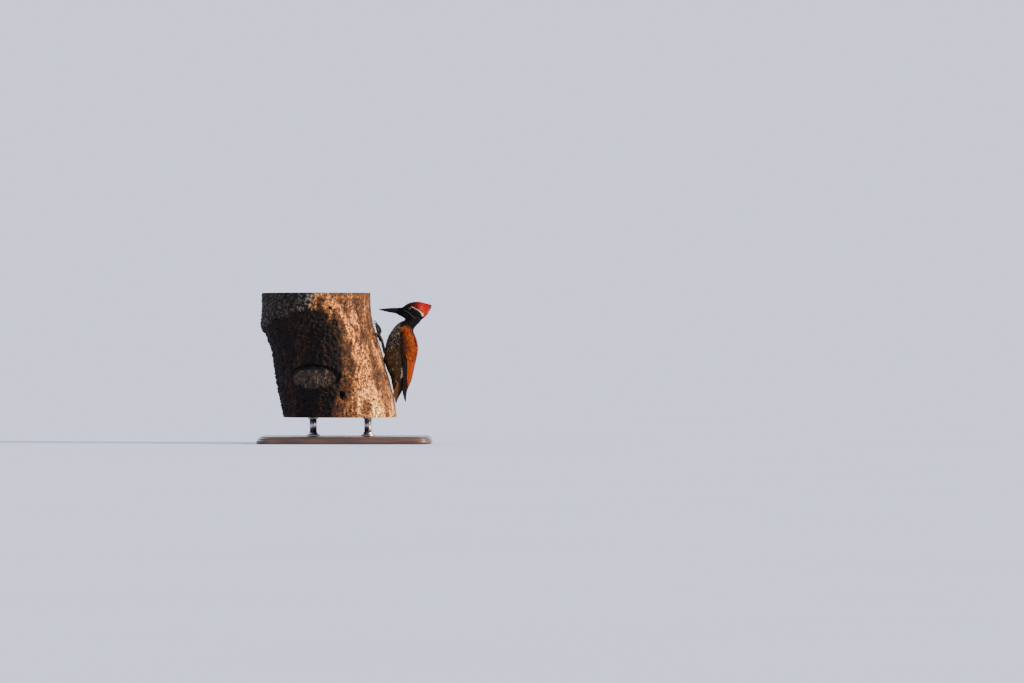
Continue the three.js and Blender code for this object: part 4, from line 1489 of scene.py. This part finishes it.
def on_bark(degrees, z, lift):
    """A point lift millimetres off the CAD trunk, at an angle round it from +X, where the bird is."""
    middle = np.array((trunk_axis(z), 0, z))
    out = bearing(degrees)
    return hit(perch_tree, middle + out * PERCH_REACH, -out) + out * lift


# ---------------------------------------------------------------- legs, toes and claws
LEG = {"apart": 7.5, "foot_z": 207, "heel": (76, 14.5, 171), "toe_radius": 1.8, "gap": 0.3}
# How much lower each foot stands, and its toes' share of the arch.
STANCE = {"left": (0, 1.0), "right": (4, 0.6)}
TRUNK_RADIUS = 106  # at the feet
# Each toe's tip from the foot: its angle round the trunk and its climb, then its arch and its claw's reach.
TOES = {
    "middle": (1.5, 19, 10.3, 7),
    "inner": (-4.5, 15, 4, 6),
    "outer": (9, 1.5, 3.6, 5.5),
    "hind": (-4.5, -7, 2, 4.2),
}
SCUTE = 1.15  # the length of a scale on the leg


def along_toe(side, foot_z, toe, share, extra, lift):
    """A point off the bark at a share of a toe's length, and extra millimetres further on."""
    angle, climb = TOES[toe][:2]
    length = math.hypot(climb, math.radians(angle) * TRUNK_RADIUS)
    reach = share + extra / length
    return on_bark(side * (LEG["apart"] + angle * reach), foot_z + climb * reach, lift)


def scutes(pitch, depth):
    """Relief of overlapping scales in front and small round ones behind."""

    def relief(along, angle):
        step = np.mod(along / pitch, 1)
        front = 0.5 + 0.5 * np.cos(angle)
        plates = depth * (step**0.6 - 0.5) * smoothstep(0.2, 0.6, front)
        pads = 0.5 * depth * np.sin(along / pitch * 2.1 * math.pi) * np.sin(angle * 5)
        return 1 + plates + pads * (1 - smoothstep(0.2, 0.5, front))

    return relief


def toe_parts(side, foot_z, toe, steep):
    """A toe's tube, with its knuckles, and its claw's."""
    arch, hook = TOES[toe][2] * steep, TOES[toe][3]
    thin = 0.8 if toe == "hind" else 1.0
    base = LEG["toe_radius"] + LEG["gap"]
    spots = ((0, 2), (0.3, 0.85 * arch), (0.7, 0.88 * arch), (1, 0.62 * arch))
    points = [along_toe(side, foot_z, toe, share, 0, base + lift) for share, lift in spots]
    outward = np.array((1.0, 0, 0.1))
    plates = scutes(0.95, 0.13)

    def relief(along, angle):
        knuckles = 0.07 * np.cos(along / 1.9 * math.pi)
        return plates(along, angle) + knuckles

    flesh = tube(points, np.array((2.3, 2.1, 2.05, 1.6)) * thin, 90, 20, relief, outward)
    root = base + arch * 0.62
    hooks = ((0.02, 1.0), (0.18, 1.0), (0.7, 0.88), (1.0, 0.5), (1 - 0.03 * arch, 0.1))
    claw_points = [along_toe(side, foot_z, toe, 1, hook * far, max(root * high, 0.5)) for far, high in hooks]
    claw_radii = np.array((1.15, 1.13, 0.97, 0.66, 0.15)) * thin
    claw = tube(claw_points, claw_radii, 40, 16, lambda along, angle: 1 + 0.10 * np.cos(2 * angle), outward)
    return flesh, claw


scales = scale_material()
claw_horn = horn_material("claw_horn", (0.006, 0.005, 0.0045), (0.026, 0.021, 0.016), 0.38)
for name, side in SIDES.items():
    lower, steep = STANCE[name]
    foot_z = LEG["foot_z"] - lower
    heel_x, heel_y, heel_z = LEG["heel"]
    ankle = on_bark(side * LEG["apart"], foot_z, LEG["toe_radius"] + LEG["gap"] + 2)
    shank = [  # from inside the thigh, over the heel and down to the foot
        (heel_x + 6, side * (heel_y + 1), heel_z + 3),
        (heel_x + 0.6, side * heel_y, heel_z + 1.2),
        (73.8, side * heel_y, 180),
        (71.3, side * heel_y, 191 - 0.4 * lower),
        on_bark(side * LEG["apart"], foot_z - 6, 7.2),
        ankle,
        ankle + np.array((-0.3, 0, 1.8)),
    ]
    radii = (2.4, 2.8, 2.6, 2.6, 2.7, 2.7, 1.8)
    parts = [tube(shank, radii, 190, 26, scutes(SCUTE, 0.12), (-1, 0, 0.2))]
    for toe in TOES:
        flesh, claw = toe_parts(side, foot_z, toe, steep)
        parts.append(flesh)
        claw_obj = make_object(f"claw_{name}_{toe}_fine", *claw, claw_horn)
        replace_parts(claw_obj, f"claw_{name}_{toe}")
    leg = make_object(f"leg_{name}_fine", *joined(parts), scales)
    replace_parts(leg, f"leg_{name}")
    tone = fractal(np.array([v.co for v in leg.data.vertices]) / MM, 2.2, 3)
    paint(leg, "Scale", np.clip(0.55 + 0.8 * tone, 0, 1)[:, None])


# ---------------------------------------------------------------- the cut trunk's wood and bark
AROUND, TALL, RINGS = 380, 236, 12  # points round the trunk and up it, and rings on each sawn end
FACING = 26  # degrees to either side of the bird where the wood stays low, under its feet and tail
BELLY_HOLLOW = 1.3  # how deep the wood is worn where the belly brushes against it


def bark_radii():
    """Heights up the CAD trunk, its radii there all round, with its facets smoothed away, and its axis."""
    heights = np.linspace(PERCH_LOW[2] + 0.4, PERCH_HIGH[2] - 0.4, 60)
    axis = np.array([trunk_axis(z) for z in heights])
    radii = np.array([
        [np.linalg.norm(on_bark(degrees, z, 0) - (x, 0, z)) for degrees in range(0, 360, 3)]
        for x, z in zip(axis, heights)
    ])
    for _ in range(3):
        radii = (np.roll(radii, 1, axis=1) + 2 * radii + np.roll(radii, -1, axis=1)) / 4
        radii = smooth_rows(radii, 1)
    return heights, radii, axis


def spread_over(grid, rows, cols):
    """A coarse grid, round in its columns, read at finer rows and columns from 0 to 1."""
    looped = closed(grid)
    row, col = rows * (grid.shape[0] - 1), cols * grid.shape[1]
    i = np.minimum(row.astype(int), grid.shape[0] - 2)
    j = np.minimum(col.astype(int), grid.shape[1] - 1)
    s, t = row - i, col - j
    near = looped[i, j] * (1 - t) + looped[i, j + 1] * t
    far = looped[i + 1, j] * (1 - t) + looped[i + 1, j + 1] * t
    return near * (1 - s) + far * s


# The lower edge of the crusty bark: degrees round from the bird, negative on the left, and the edge's height.
BARK_EDGE = np.array([
    (-180, 212), (-150, 222), (-134, 233), (-118, 242), (-106, 248), (-97, 257), (-92, 276), (-87, 300),
    (-40, 320), (40, 320), (80, 300), (95, 262), (115, 238), (140, 222), (180, 212),
])
# Where the painted shade on the wood of the left side ends, and where a flake of bark starts above it: x, z.
DARK_EDGE = np.array([
    (-14, 50), (-16, 75), (-4, 98), (6, 125), (8, 150), (2, 178), (-6, 200), (-12, 232), (-30, 246),
    (-60, 258), (-70, 286),
])
FLAKE_EDGE = np.array([(60, 255), (45, 262), (38, 275), (31, 290)])
# The smooth pale streak that winds down the bare wood: x and z as seen from the left, and half width.
PALE_STREAK = np.array([
    (-52, 294, 9), (-24, 272, 9), (0, 242, 7), (14, 208, 8), (26, 170, 9), (50, 104, 12), (64, 50, 12),
])
# Holes: x, z, half width, half height, depth, all on the left side.
HOLES = (
    (-3, 93, 5.5, 8, 9), (-25, 257, 3.2, 3.6, 4), (-76, 80, 3.2, 2.6, 4), (2, 128, 2.4, 2.0, 2),
    (-33, 100, 2, 2.2, 2.5),
)
SCAR = {"x": -58, "z": 124, "wide": 42, "tall": 19}
PALE_WOOD = np.array((0.64, 0.245, 0.064))
PINK_WOOD = np.array((0.200, 0.076, 0.020))
BROWN_WOOD = np.array((0.060, 0.0225, 0.0078))
DARK_WOOD = np.array((0.014, 0.0065, 0.0042))
GREY_BARK = np.array((0.052, 0.039, 0.027))
LICHEN = np.array((0.34, 0.29, 0.21))
SCAR_WOOD = np.array((0.074, 0.050, 0.031))
MOTTLE_BROWN = np.array((0.040, 0.020, 0.009))


def scar_and_crack(x, z, left, rough, blotch):
    """The old scar on the trunk's left side, the lip round it and the crack that curls over it."""
    gap = np.hypot((x - SCAR["x"]) / SCAR["wide"], (z - SCAR["z"]) / SCAR["tall"])
    gap = gap + 0.2 * rough + 0.12 * blotch
    scar = np.where(left, 1 - smoothstep(0.8, 1.05, gap), 0)
    lip = np.where(left, bell(gap, 1.15, 0.12), 0)
    across, up = (x - SCAR["x"]) / (SCAR["wide"] + 4), (z - SCAR["z"]) / (SCAR["tall"] + 5)
    round_it = np.degrees(np.arctan2(up, across))
    width = np.interp(round_it, (-25, 10, 45, 80, 125, 150), (0, 0.16, 0.13, 0.07, 0.035, 0))
    crack_gap = np.abs(np.hypot(across, up) - 1.02 + 0.05 * rough) / np.maximum(width, 1e-3)
    crack = np.where(left & (width > 0.005), 1 - smoothstep(0.6, 1.1, crack_gap), 0)
    return scar, lip, crack


def bored_holes(x, z, left, rough):
    """Where the holes are, and how deep."""
    hole, pit = np.zeros(len(x)), np.zeros(len(x))
    for hx, hz, wide, tall, depth in HOLES:
        gap = np.hypot((x - hx) / wide, (z - hz) / tall) + 0.25 * rough
        here = np.where(left, 1 - smoothstep(0.65, 1.1, gap), 0)
        hole, pit = np.maximum(hole, here), np.maximum(pit, here * depth)
    return hole, pit


def trunk_skin(points, degrees):
    """The relief, in millimetres, and the colour of the trunk's side at some points."""

    def grown(squeeze, scale, octaves, seed):
        """Noise drawn out along the trunk, by as much as its heights are squeezed."""
        return fractal(points * (1, 1, squeeze), scale, octaves, seed)

    x, y, z = points.T
    left = y < 0
    grain = grown(0.16, 2.4, 4, 1.0)
    broad = grown(0.4, 38, 3, 5.0)
    blotch = grown(0.5, 13, 5, 9.0)
    rough = grown(0.75, 4.2, 5, 13.0)
    crust = grown(1, 4.4, 6, 17.0)

    # crusty bark, with a ragged edge and a hollow under it, painted dark as shade
    edge = np.interp(degrees, BARK_EDGE[:, 0], BARK_EDGE[:, 1])
    above = z - edge + 9 * grown(0.7, 12, 5, 21.0)
    bark = smoothstep(-0.8, 0.8, above)
    under = (1 - bark) * np.exp(np.minimum(above, 0) / 20) * (np.abs(degrees) > 95)
    flake_edge = np.interp(z, FLAKE_EDGE[:, 1], FLAKE_EDGE[:, 0])
    flake_gap = np.where(left, x - flake_edge + 3 * blotch + 1.2 * rough, -9)
    flake = smoothstep(-0.5, 0.5, flake_gap) * smoothstep(260, 263, z + 6 * blotch)

    # bare wood: worn pale streaks, and darker wood eaten into pits
    streak_gap = line_distance(points, PALE_STREAK) + 0.7 * blotch
    streak = np.where(left, 1 - smoothstep(0.5, 1.3, streak_gap), 0)
    other = smoothstep(0.10, 0.34, grown(0.14, 19, 4, 33.0) + 0.25 * rough)
    worn = np.maximum(streak, 0.8 * other) * (1 - bark)
    sound = np.where(left, 0.65 * smoothstep(10, 45, x), 0)  # the lit wood beside the bird is less eaten
    eaten = smoothstep(-0.12, 0.30, blotch) * (1 - 0.85 * worn) * (1 - bark) * (1 - sound)
    pits = eaten * smoothstep(-0.02, 0.30, rough)
    dark_edge = np.interp(z, DARK_EDGE[:, 1], DARK_EDGE[:, 0])
    # Painted shade: the bare wood is painted darker on its left side beyond DARK_EDGE and on its far side.
    painted_shade_left = smoothstep(13, -13, x - dark_edge + 26 * broad + 10 * blotch)
    painted_shade_right = smoothstep(100, 128, np.abs(degrees) + 20 * broad)
    painted_shade = np.where(left, painted_shade_left, painted_shade_right)

    scar, lip, crack = scar_and_crack(x, z, left, rough, blotch)
    hole, pit = bored_holes(x, z, left, rough)

    wood = 0.25 * grain + 1.0 * broad + 0.45 * worn - 1.5 * pits - 0.5 * eaten
    wood = wood + 3.2 * painted_shade * rough
    crusty = 1.1 + 2.2 * crust + 1.0 * rough
    relief = wood * (1 - bark) + crusty * bark - 2.0 * under + flake * (1.3 + 1.2 * rough)
    relief = relief - pit - 4.5 * crack + 1.4 * lip * (1 - crack) - 1.1 * scar * (1 + rough)
    quiet = smoothstep(FACING - 8, FACING + 10, np.abs(degrees))
    near_bird = 0.2 * grain - 0.25 - 0.8 * pits
    belly_hollow = BELLY_HOLLOW * bell(z, 144, 9)
    relief = relief * quiet + (near_bird - belly_hollow) * (1 - quiet)

    colour = mix(PINK_WOOD, BROWN_WOOD, smoothstep(-0.3, 0.25, blotch + 0.5 * rough))
    colour = mix(colour, PALE_WOOD, worn * (0.8 + 0.6 * grain))
    colour = mix(colour, DARK_WOOD, pits * (0.55 + 0.35 * painted_shade))
    mottle = grown(0.7, 3.4, 4, 41.0)
    colour = mix(MOTTLE_BROWN, colour * 1.36, 0.1 + 0.9 * smoothstep(-0.28, 0.22, mottle + 0.35 * grain))
    colour = colour * (1 + 0.95 * smoothstep(140, 70, z) * smoothstep(0, 30, x))[:, None]
    # The painted shade darkens the wood.
    colour = colour * (1 - 0.95 * painted_shade)[:, None]
    colour = mix(colour, PINK_WOOD * 0.55, flake * 0.8)
    scar_wood = SCAR_WOOD * (0.8 + 0.5 * mottle[:, None])
    colour = mix(colour, scar_wood, scar * (0.95 - 0.3 * smoothstep(-0.1, 0.3, rough)))
    # Painted shade in the hollow under the bark's edge.
    colour = mix(colour, DARK_WOOD * 0.6, under * 0.85)
    barky = mix(GREY_BARK * 0.3, GREY_BARK, smoothstep(-0.35, 0.2, crust))
    lichen = smoothstep(0.14, 0.30, crust + 0.4 * rough) * (0.3 + 0.7 * smoothstep(-90, -40, x))
    # The bark is painted darker towards the far left: painted shade.
    barky = mix(barky, LICHEN, lichen * 0.85) * (0.45 + 0.55 * smoothstep(-110, -50, x))[:, None]
    colour = mix(colour, barky, bark)
    # Painted shade: the insides of the holes and the crack are painted almost black.
    colour = mix(colour, DARK_WOOD * 0.2, np.maximum(hole, crack))
    return relief, np.clip(colour, 0.001, 0.9)


GROWTH_RING = 0.0054  # metres
# The drying cracks of the sawn ends: angle, how far from the middle they start, and width.
CHECKS = ((-150, 8, 2.2), (-62, 4, 3.2), (24, 20, 2.0), (88, 2, 2.8), (140, 30, 1.8))
PITH = (-0.048, -0.004)  # metres: the middle of the growth rings, in x and y


def cut_end(rim, level, facing, seed):
    """Rings of points from a rim to its middle, on a level sawn face that has cracked as it dried."""
    pith = rim[:, :2].mean(axis=0) + (3, -4)
    rings = []
    for share in np.linspace(0, 1, RINGS + 1)[1:]:
        points = rim.copy()
        points[:, :2] = rim[:, :2] + (pith - rim[:, :2]) * min(share, 0.985)
        points[:, 2] = level
        rings.append(points)
    flat = np.concatenate(rings)
    sawn = fractal(flat * (0.15, 1, 1), 3, 3, seed) * 0.22
    away = flat[:, :2] - pith
    far, turn = np.linalg.norm(away, axis=1), np.degrees(np.arctan2(away[:, 1], away[:, 0]))
    split = np.zeros(len(flat))
    for degrees, start, wide in CHECKS:
        off = np.abs(np.mod(turn - degrees - 0.06 * far + 180, 360) - 180)
        opened = np.maximum(smoothstep(start, start + 25, far) * wide, 0.01)
        split = np.maximum(split, smoothstep(opened, 0.3 * opened, np.radians(off) * far))
    flat[:, 2] -= facing * (0.25 + np.clip(sawn, -0.2, 0.25) + 2.6 * split)
    return flat


def trunk_material():
    """Weathered wood and bark: painted, broken up by fine grain, and with growth rings where it is sawn."""
    s = Shader("dead_wood", 0.85, specular=0.2)
    fibres = s.noise(420, 6, 0.65, (1, 1, 0.12))
    specks = s.noise(420, 7, 0.72, (1, 1, 0.7))
    patches = s.noise(110, 6, 0.65, (1, 1, 0.6))
    colour = s.shade(s.painted("Wood"), fibres, (0.3, 0.72), (0.7, 1.15))
    colour = s.shade(colour, specks, (0.41, 0.10), (0.56, 1.42))
    colour = s.shade(colour, patches, (0.38, 0.40), (0.60, 1.30))
    where = s.add("ShaderNodeSeparateXYZ", {0: s.place()}).outputs
    off_x = s.math("SUBTRACT", where[0], PITH[0])
    off_y = s.math("SUBTRACT", where[1], PITH[1])
    away = s.math("SQRT", s.math("ADD", s.math("MULTIPLY", off_x, off_x), s.math("MULTIPLY", off_y, off_y)))
    wander = s.math("MULTIPLY", s.noise(22, 5, 0.65), 0.036)
    rings = s.waves(s.math("ADD", away, wander), GROWTH_RING)
    heart = s.ramp(away, (0.02, (0.085, 0.040, 0.020)), (0.085, (0.21, 0.115, 0.062)))
    end_grain = s.blend(s.math("MULTIPLY", rings, 0.42), heart, (0.070, 0.034, 0.018))
    end_grain = s.shade(end_grain, patches, (0.34, 0.55), (0.62, 1.20))
    end_grain = s.shade(end_grain, specks, (0.3, 0.6), (0.7, 1.15))
    colour = s.blend(s.painted("Sawn"), colour, end_grain)
    height = s.math("ADD", s.math("MULTIPLY", fibres, 0.7), specks)
    return s.finish(colour, s.spread(specks, 0.72, 0.95), s.bump(height, 0.0006, 0.8))


def build_trunk():
    heights, radii, axis = bark_radii()
    row = np.repeat(np.linspace(0, 1, TALL), AROUND)
    col = np.tile(np.arange(AROUND) / AROUND, TALL)
    z = PERCH_LOW[2] + row * (PERCH_HIGH[2] - PERCH_LOW[2])
    degrees = np.mod(col * 360 + 180, 360) - 180
    turn = np.radians(degrees)
    out = np.stack([np.cos(turn), np.sin(turn), np.zeros_like(turn)], axis=1)
    middle = np.stack([np.interp(z, heights, axis), np.zeros_like(z), z], axis=1)
    base = middle + out * spread_over(radii, row, col)[:, None]
    relief, colour = trunk_skin(base, degrees)
    verts = base + out * relief[:, None]
    grid = np.arange(TALL * AROUND).reshape(TALL, AROUND)
    parts, faces, count = [verts], [quads(closed(grid))], len(verts)
    for rim_row, level, facing in ((0, PERCH_LOW[2], -1), (TALL - 1, PERCH_HIGH[2], 1)):
        end = cut_end(verts[grid[rim_row]], level, facing, 40.0 + rim_row)
        numbers = np.arange(len(end)).reshape(RINGS, AROUND) + count
        last, pith = numbers[-1], np.full(AROUND // 2, count + len(end))
        fan = np.stack([last[0::2], last[1::2], np.roll(last[0::2], -1), pith], axis=1)
        made = np.concatenate([quads(closed(np.concatenate([grid[rim_row][None], numbers]))), fan])
        faces.append(made if facing > 0 else made[:, ::-1])
        parts += [end, end[-AROUND:].mean(axis=0)[None]]
        count += len(end) + 1
    trunk = make_object("perch_wood", np.concatenate(parts), np.concatenate(faces), trunk_material())
    sawn = np.arange(count) >= len(verts)
    colours = np.tile(PINK_WOOD, (count, 1))
    colours[~sawn] = colour
    paint(trunk, "Wood", colours)
    paint(trunk, "Sawn", sawn[:, None] * 1.0)
    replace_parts(trunk, "perch_trunk")


build_trunk()


# ---------------------------------------------------------------- the display stand
def stand_wood():
    """Dark oiled walnut, its grain along the base."""
    s = Shader("base_wood", 0.38, specular=0.4, Coat_Weight=0.25, Coat_Roughness=0.2)
    wave = s.noise(9, 5, 0.55, (0.25, 1.6, 1.6), 1.2)
    fine = s.noise(260, 5, 0.6, (0.05, 1, 1))
    pores = s.noise(700, 3, 0.6, (0.08, 1, 1))
    dark, brown, dull = (0.030, 0.014, 0.008), (0.075, 0.036, 0.019), (0.042, 0.020, 0.011)
    colour = s.ramp(wave, (0.32, dark), (0.5, brown), (0.68, dull))
    colour = s.shade(colour, fine, (0.35, 0.6), (0.65, 1.2))
    colour = s.shade(colour, pores, (0.3, 0.45), (0.42, 1.0))
    return s.finish(colour, s.spread(fine, 0.28, 0.48), s.bump(fine, 0.0001, 0.4))


def brushed_steel():
    """Steel drawn lengthways, with fine lines round it from turning."""
    s = Shader("rod_steel", 0.3, metallic=1.0)
    lines = s.noise(1400, 3, 0.6, (0.04, 0.04, 1))
    smears = s.noise(60, 4, 0.6)
    colour = s.ramp(lines, (0.3, (0.38, 0.38, 0.39)), (0.7, (0.60, 0.60, 0.61)))
    return s.finish(colour, s.spread(smears, 0.22, 0.42), s.bump(lines, 0.00003, 0.5))


BASE_CORNER = 32  # the radius of the base's corners in plan
# The base's moulding, from its underside up: in from the edge, and height.
MOULDING = (
    (40, 0), (1.6, 0), (0.6, 0.5), (0, 1.6), (0, 6.0), (0.5, 7.0), (1.8, 7.4), (2.2, 8.0), (2.4, 9.4),
    (3.4, 10.8), (5.2, 11.6), (5.6, 11.9), (5.7, 12.6), (6.2, 13.5), (7.2, 13.95),
)
# A rod's collars: how far they stand out from it, and how high over its foot or its top.
FOOT_COLLAR = (
    (5.5, 0), (6, 0.5), (6, 2.2), (5.4, 2.8), (2.4, 3.2), (2.0, 3.8), (2.0, 6.6), (1.4, 7.2), (0, 7.4),
)
TOP_COLLAR = ((0, -3.4), (1.6, -3.0), (2.6, -2.4), (2.6, -0.4), (2.2, 0))


def moulded_base(material):
    """The base with a bead, a cove and softened edges worked round it."""
    low, high = box_of("stand_base")
    half = (high - low)[:2] / 2
    outline = []
    for quarter, (sx, sy) in enumerate(((1, 1), (-1, 1), (-1, -1), (1, -1))):
        for turn in np.linspace(quarter, quarter + 1, 24) * math.pi / 2:
            corner = (sx * (half[0] - BASE_CORNER), sy * (half[1] - BASE_CORNER))
            outline.append((*corner, math.cos(turn), math.sin(turn)))
    outline = np.array(outline)
    tall = high[2] - low[2]
    rings = []
    for inset, z in MOULDING + ((8.6, tall), (40, tall)):
        reach, pull = max(BASE_CORNER - inset, 0.0), min(BASE_CORNER - inset, 0.0)
        plan = outline[:, :2] + np.sign(outline[:, :2]) * pull + outline[:, 2:] * reach
        rings.append(np.column_stack([plan, np.full(len(plan), low[2] + z)]))
    verts, faces = loft(np.array(rings))
    base = make_object("stand_base_moulded", verts, faces, material)
    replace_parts(base, "stand_base")


def collared_rod(node, material):
    """A rod with a stepped collar at its foot and another under the trunk."""
    low, high = box_of(node)
    middle, radius = (low + high) / 2, (high - low)[0] / 2
    angle = circle(72)
    profile = [(radius + out, low[2] + up) for out, up in FOOT_COLLAR]
    profile += [(radius + out, high[2] + up) for out, up in TOP_COLLAR]
    x, y = np.cos(angle), np.sin(angle)
    rings = [
        np.stack([middle[0] + far * x, middle[1] + far * y, np.full(len(angle), z)], axis=1)
        for far, z in profile
    ]
    rod = make_object(f"{node}_collared", *loft(np.array(rings)), material)
    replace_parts(rod, node)


moulded_base(stand_wood())
steel = brushed_steel()
for node in ("stand_rod_front", "stand_rod_back"):
    collared_rod(node, steel)


# ---------------------------------------------------------------- the room, the light and the camera
FLOOR_HALF = 150  # metres: wide enough for the floor to meet the sky close to the horizon
SKY = (1.11, 1.14, 1.46)
# The two lights: where they come from, their strength, the size of their source in degrees and their colour.
KEY = {"towards": (2.0, -0.6, 0.85), "strength": 9.0, "spread": 12, "colour": (1.0, 0.78, 0.56)}
BACK = {"towards": (-0.8, 1.6, 1.1), "strength": 1.0, "spread": 40, "colour": (1.0, 0.97, 0.94)}


def light_on_floor():
    """What the sky and the lights send to a level floor, as the radiance a white floor would have."""
    made = np.array(SKY)
    for light in (KEY, BACK):
        slope = light["towards"][2] / math.hypot(*light["towards"])
        made = made + np.array(light["colour"]) * light["strength"] * slope / math.pi
    return made


def studio():
    """A floor that fades into an even sky."""
    s = Shader("studio_floor", 0.9, specular=0.0)
    pale = np.array(SKY) / light_on_floor()  # the floor then melts into the sky
    tone = s.ramp(s.noise(2, 3), (0.3, tuple(pale * 0.99)), (0.7, tuple(pale * 1.01)))
    mesh = bpy.data.meshes.new("studio_floor")
    corners = [(x * FLOOR_HALF, y * FLOOR_HALF, 0) for x, y in ((-1, -1), (1, -1), (1, 1), (-1, 1))]
    mesh.from_pydata(corners, [], [(0, 1, 2, 3)])
    mesh.materials.append(s.finish(tone))
    floor = add_object("studio_floor", mesh)
    world = bpy.data.worlds.new("studio_world")
    world.use_nodes = True
    background = world.node_tree.nodes["Background"]
    background.inputs["Color"].default_value = (*SKY, 1)
    bpy.context.scene.world = world


def soft_light(name, says):
    """A broad, even light from a direction."""
    light = bpy.data.lights.new(name, "SUN")
    light.energy = says["strength"]
    light.angle = math.radians(says["spread"])
    light.color = says["colour"]
    obj = add_object(name, light)
    obj.location = says["towards"]
    obj.rotation_euler = (-Vector(says["towards"])).to_track_quat("-Z", "Y").to_euler()


CAMERA = {"place": (0.3173, -12, 0.19365), "width": 1.9456}  # the width of the view at the bird, in metres


def camera():
    data = bpy.data.cameras.new("camera")
    data.sensor_width = 36
    data.lens = data.sensor_width * -CAMERA["place"][1] / CAMERA["width"]
    data.clip_end = 500
    obj = add_object("camera", data)
    obj.location = CAMERA["place"]
    obj.rotation_euler = (math.pi / 2, 0, 0)
    bpy.context.scene.camera = obj


studio()
soft_light("key", KEY)
soft_light("back", BACK)
camera()
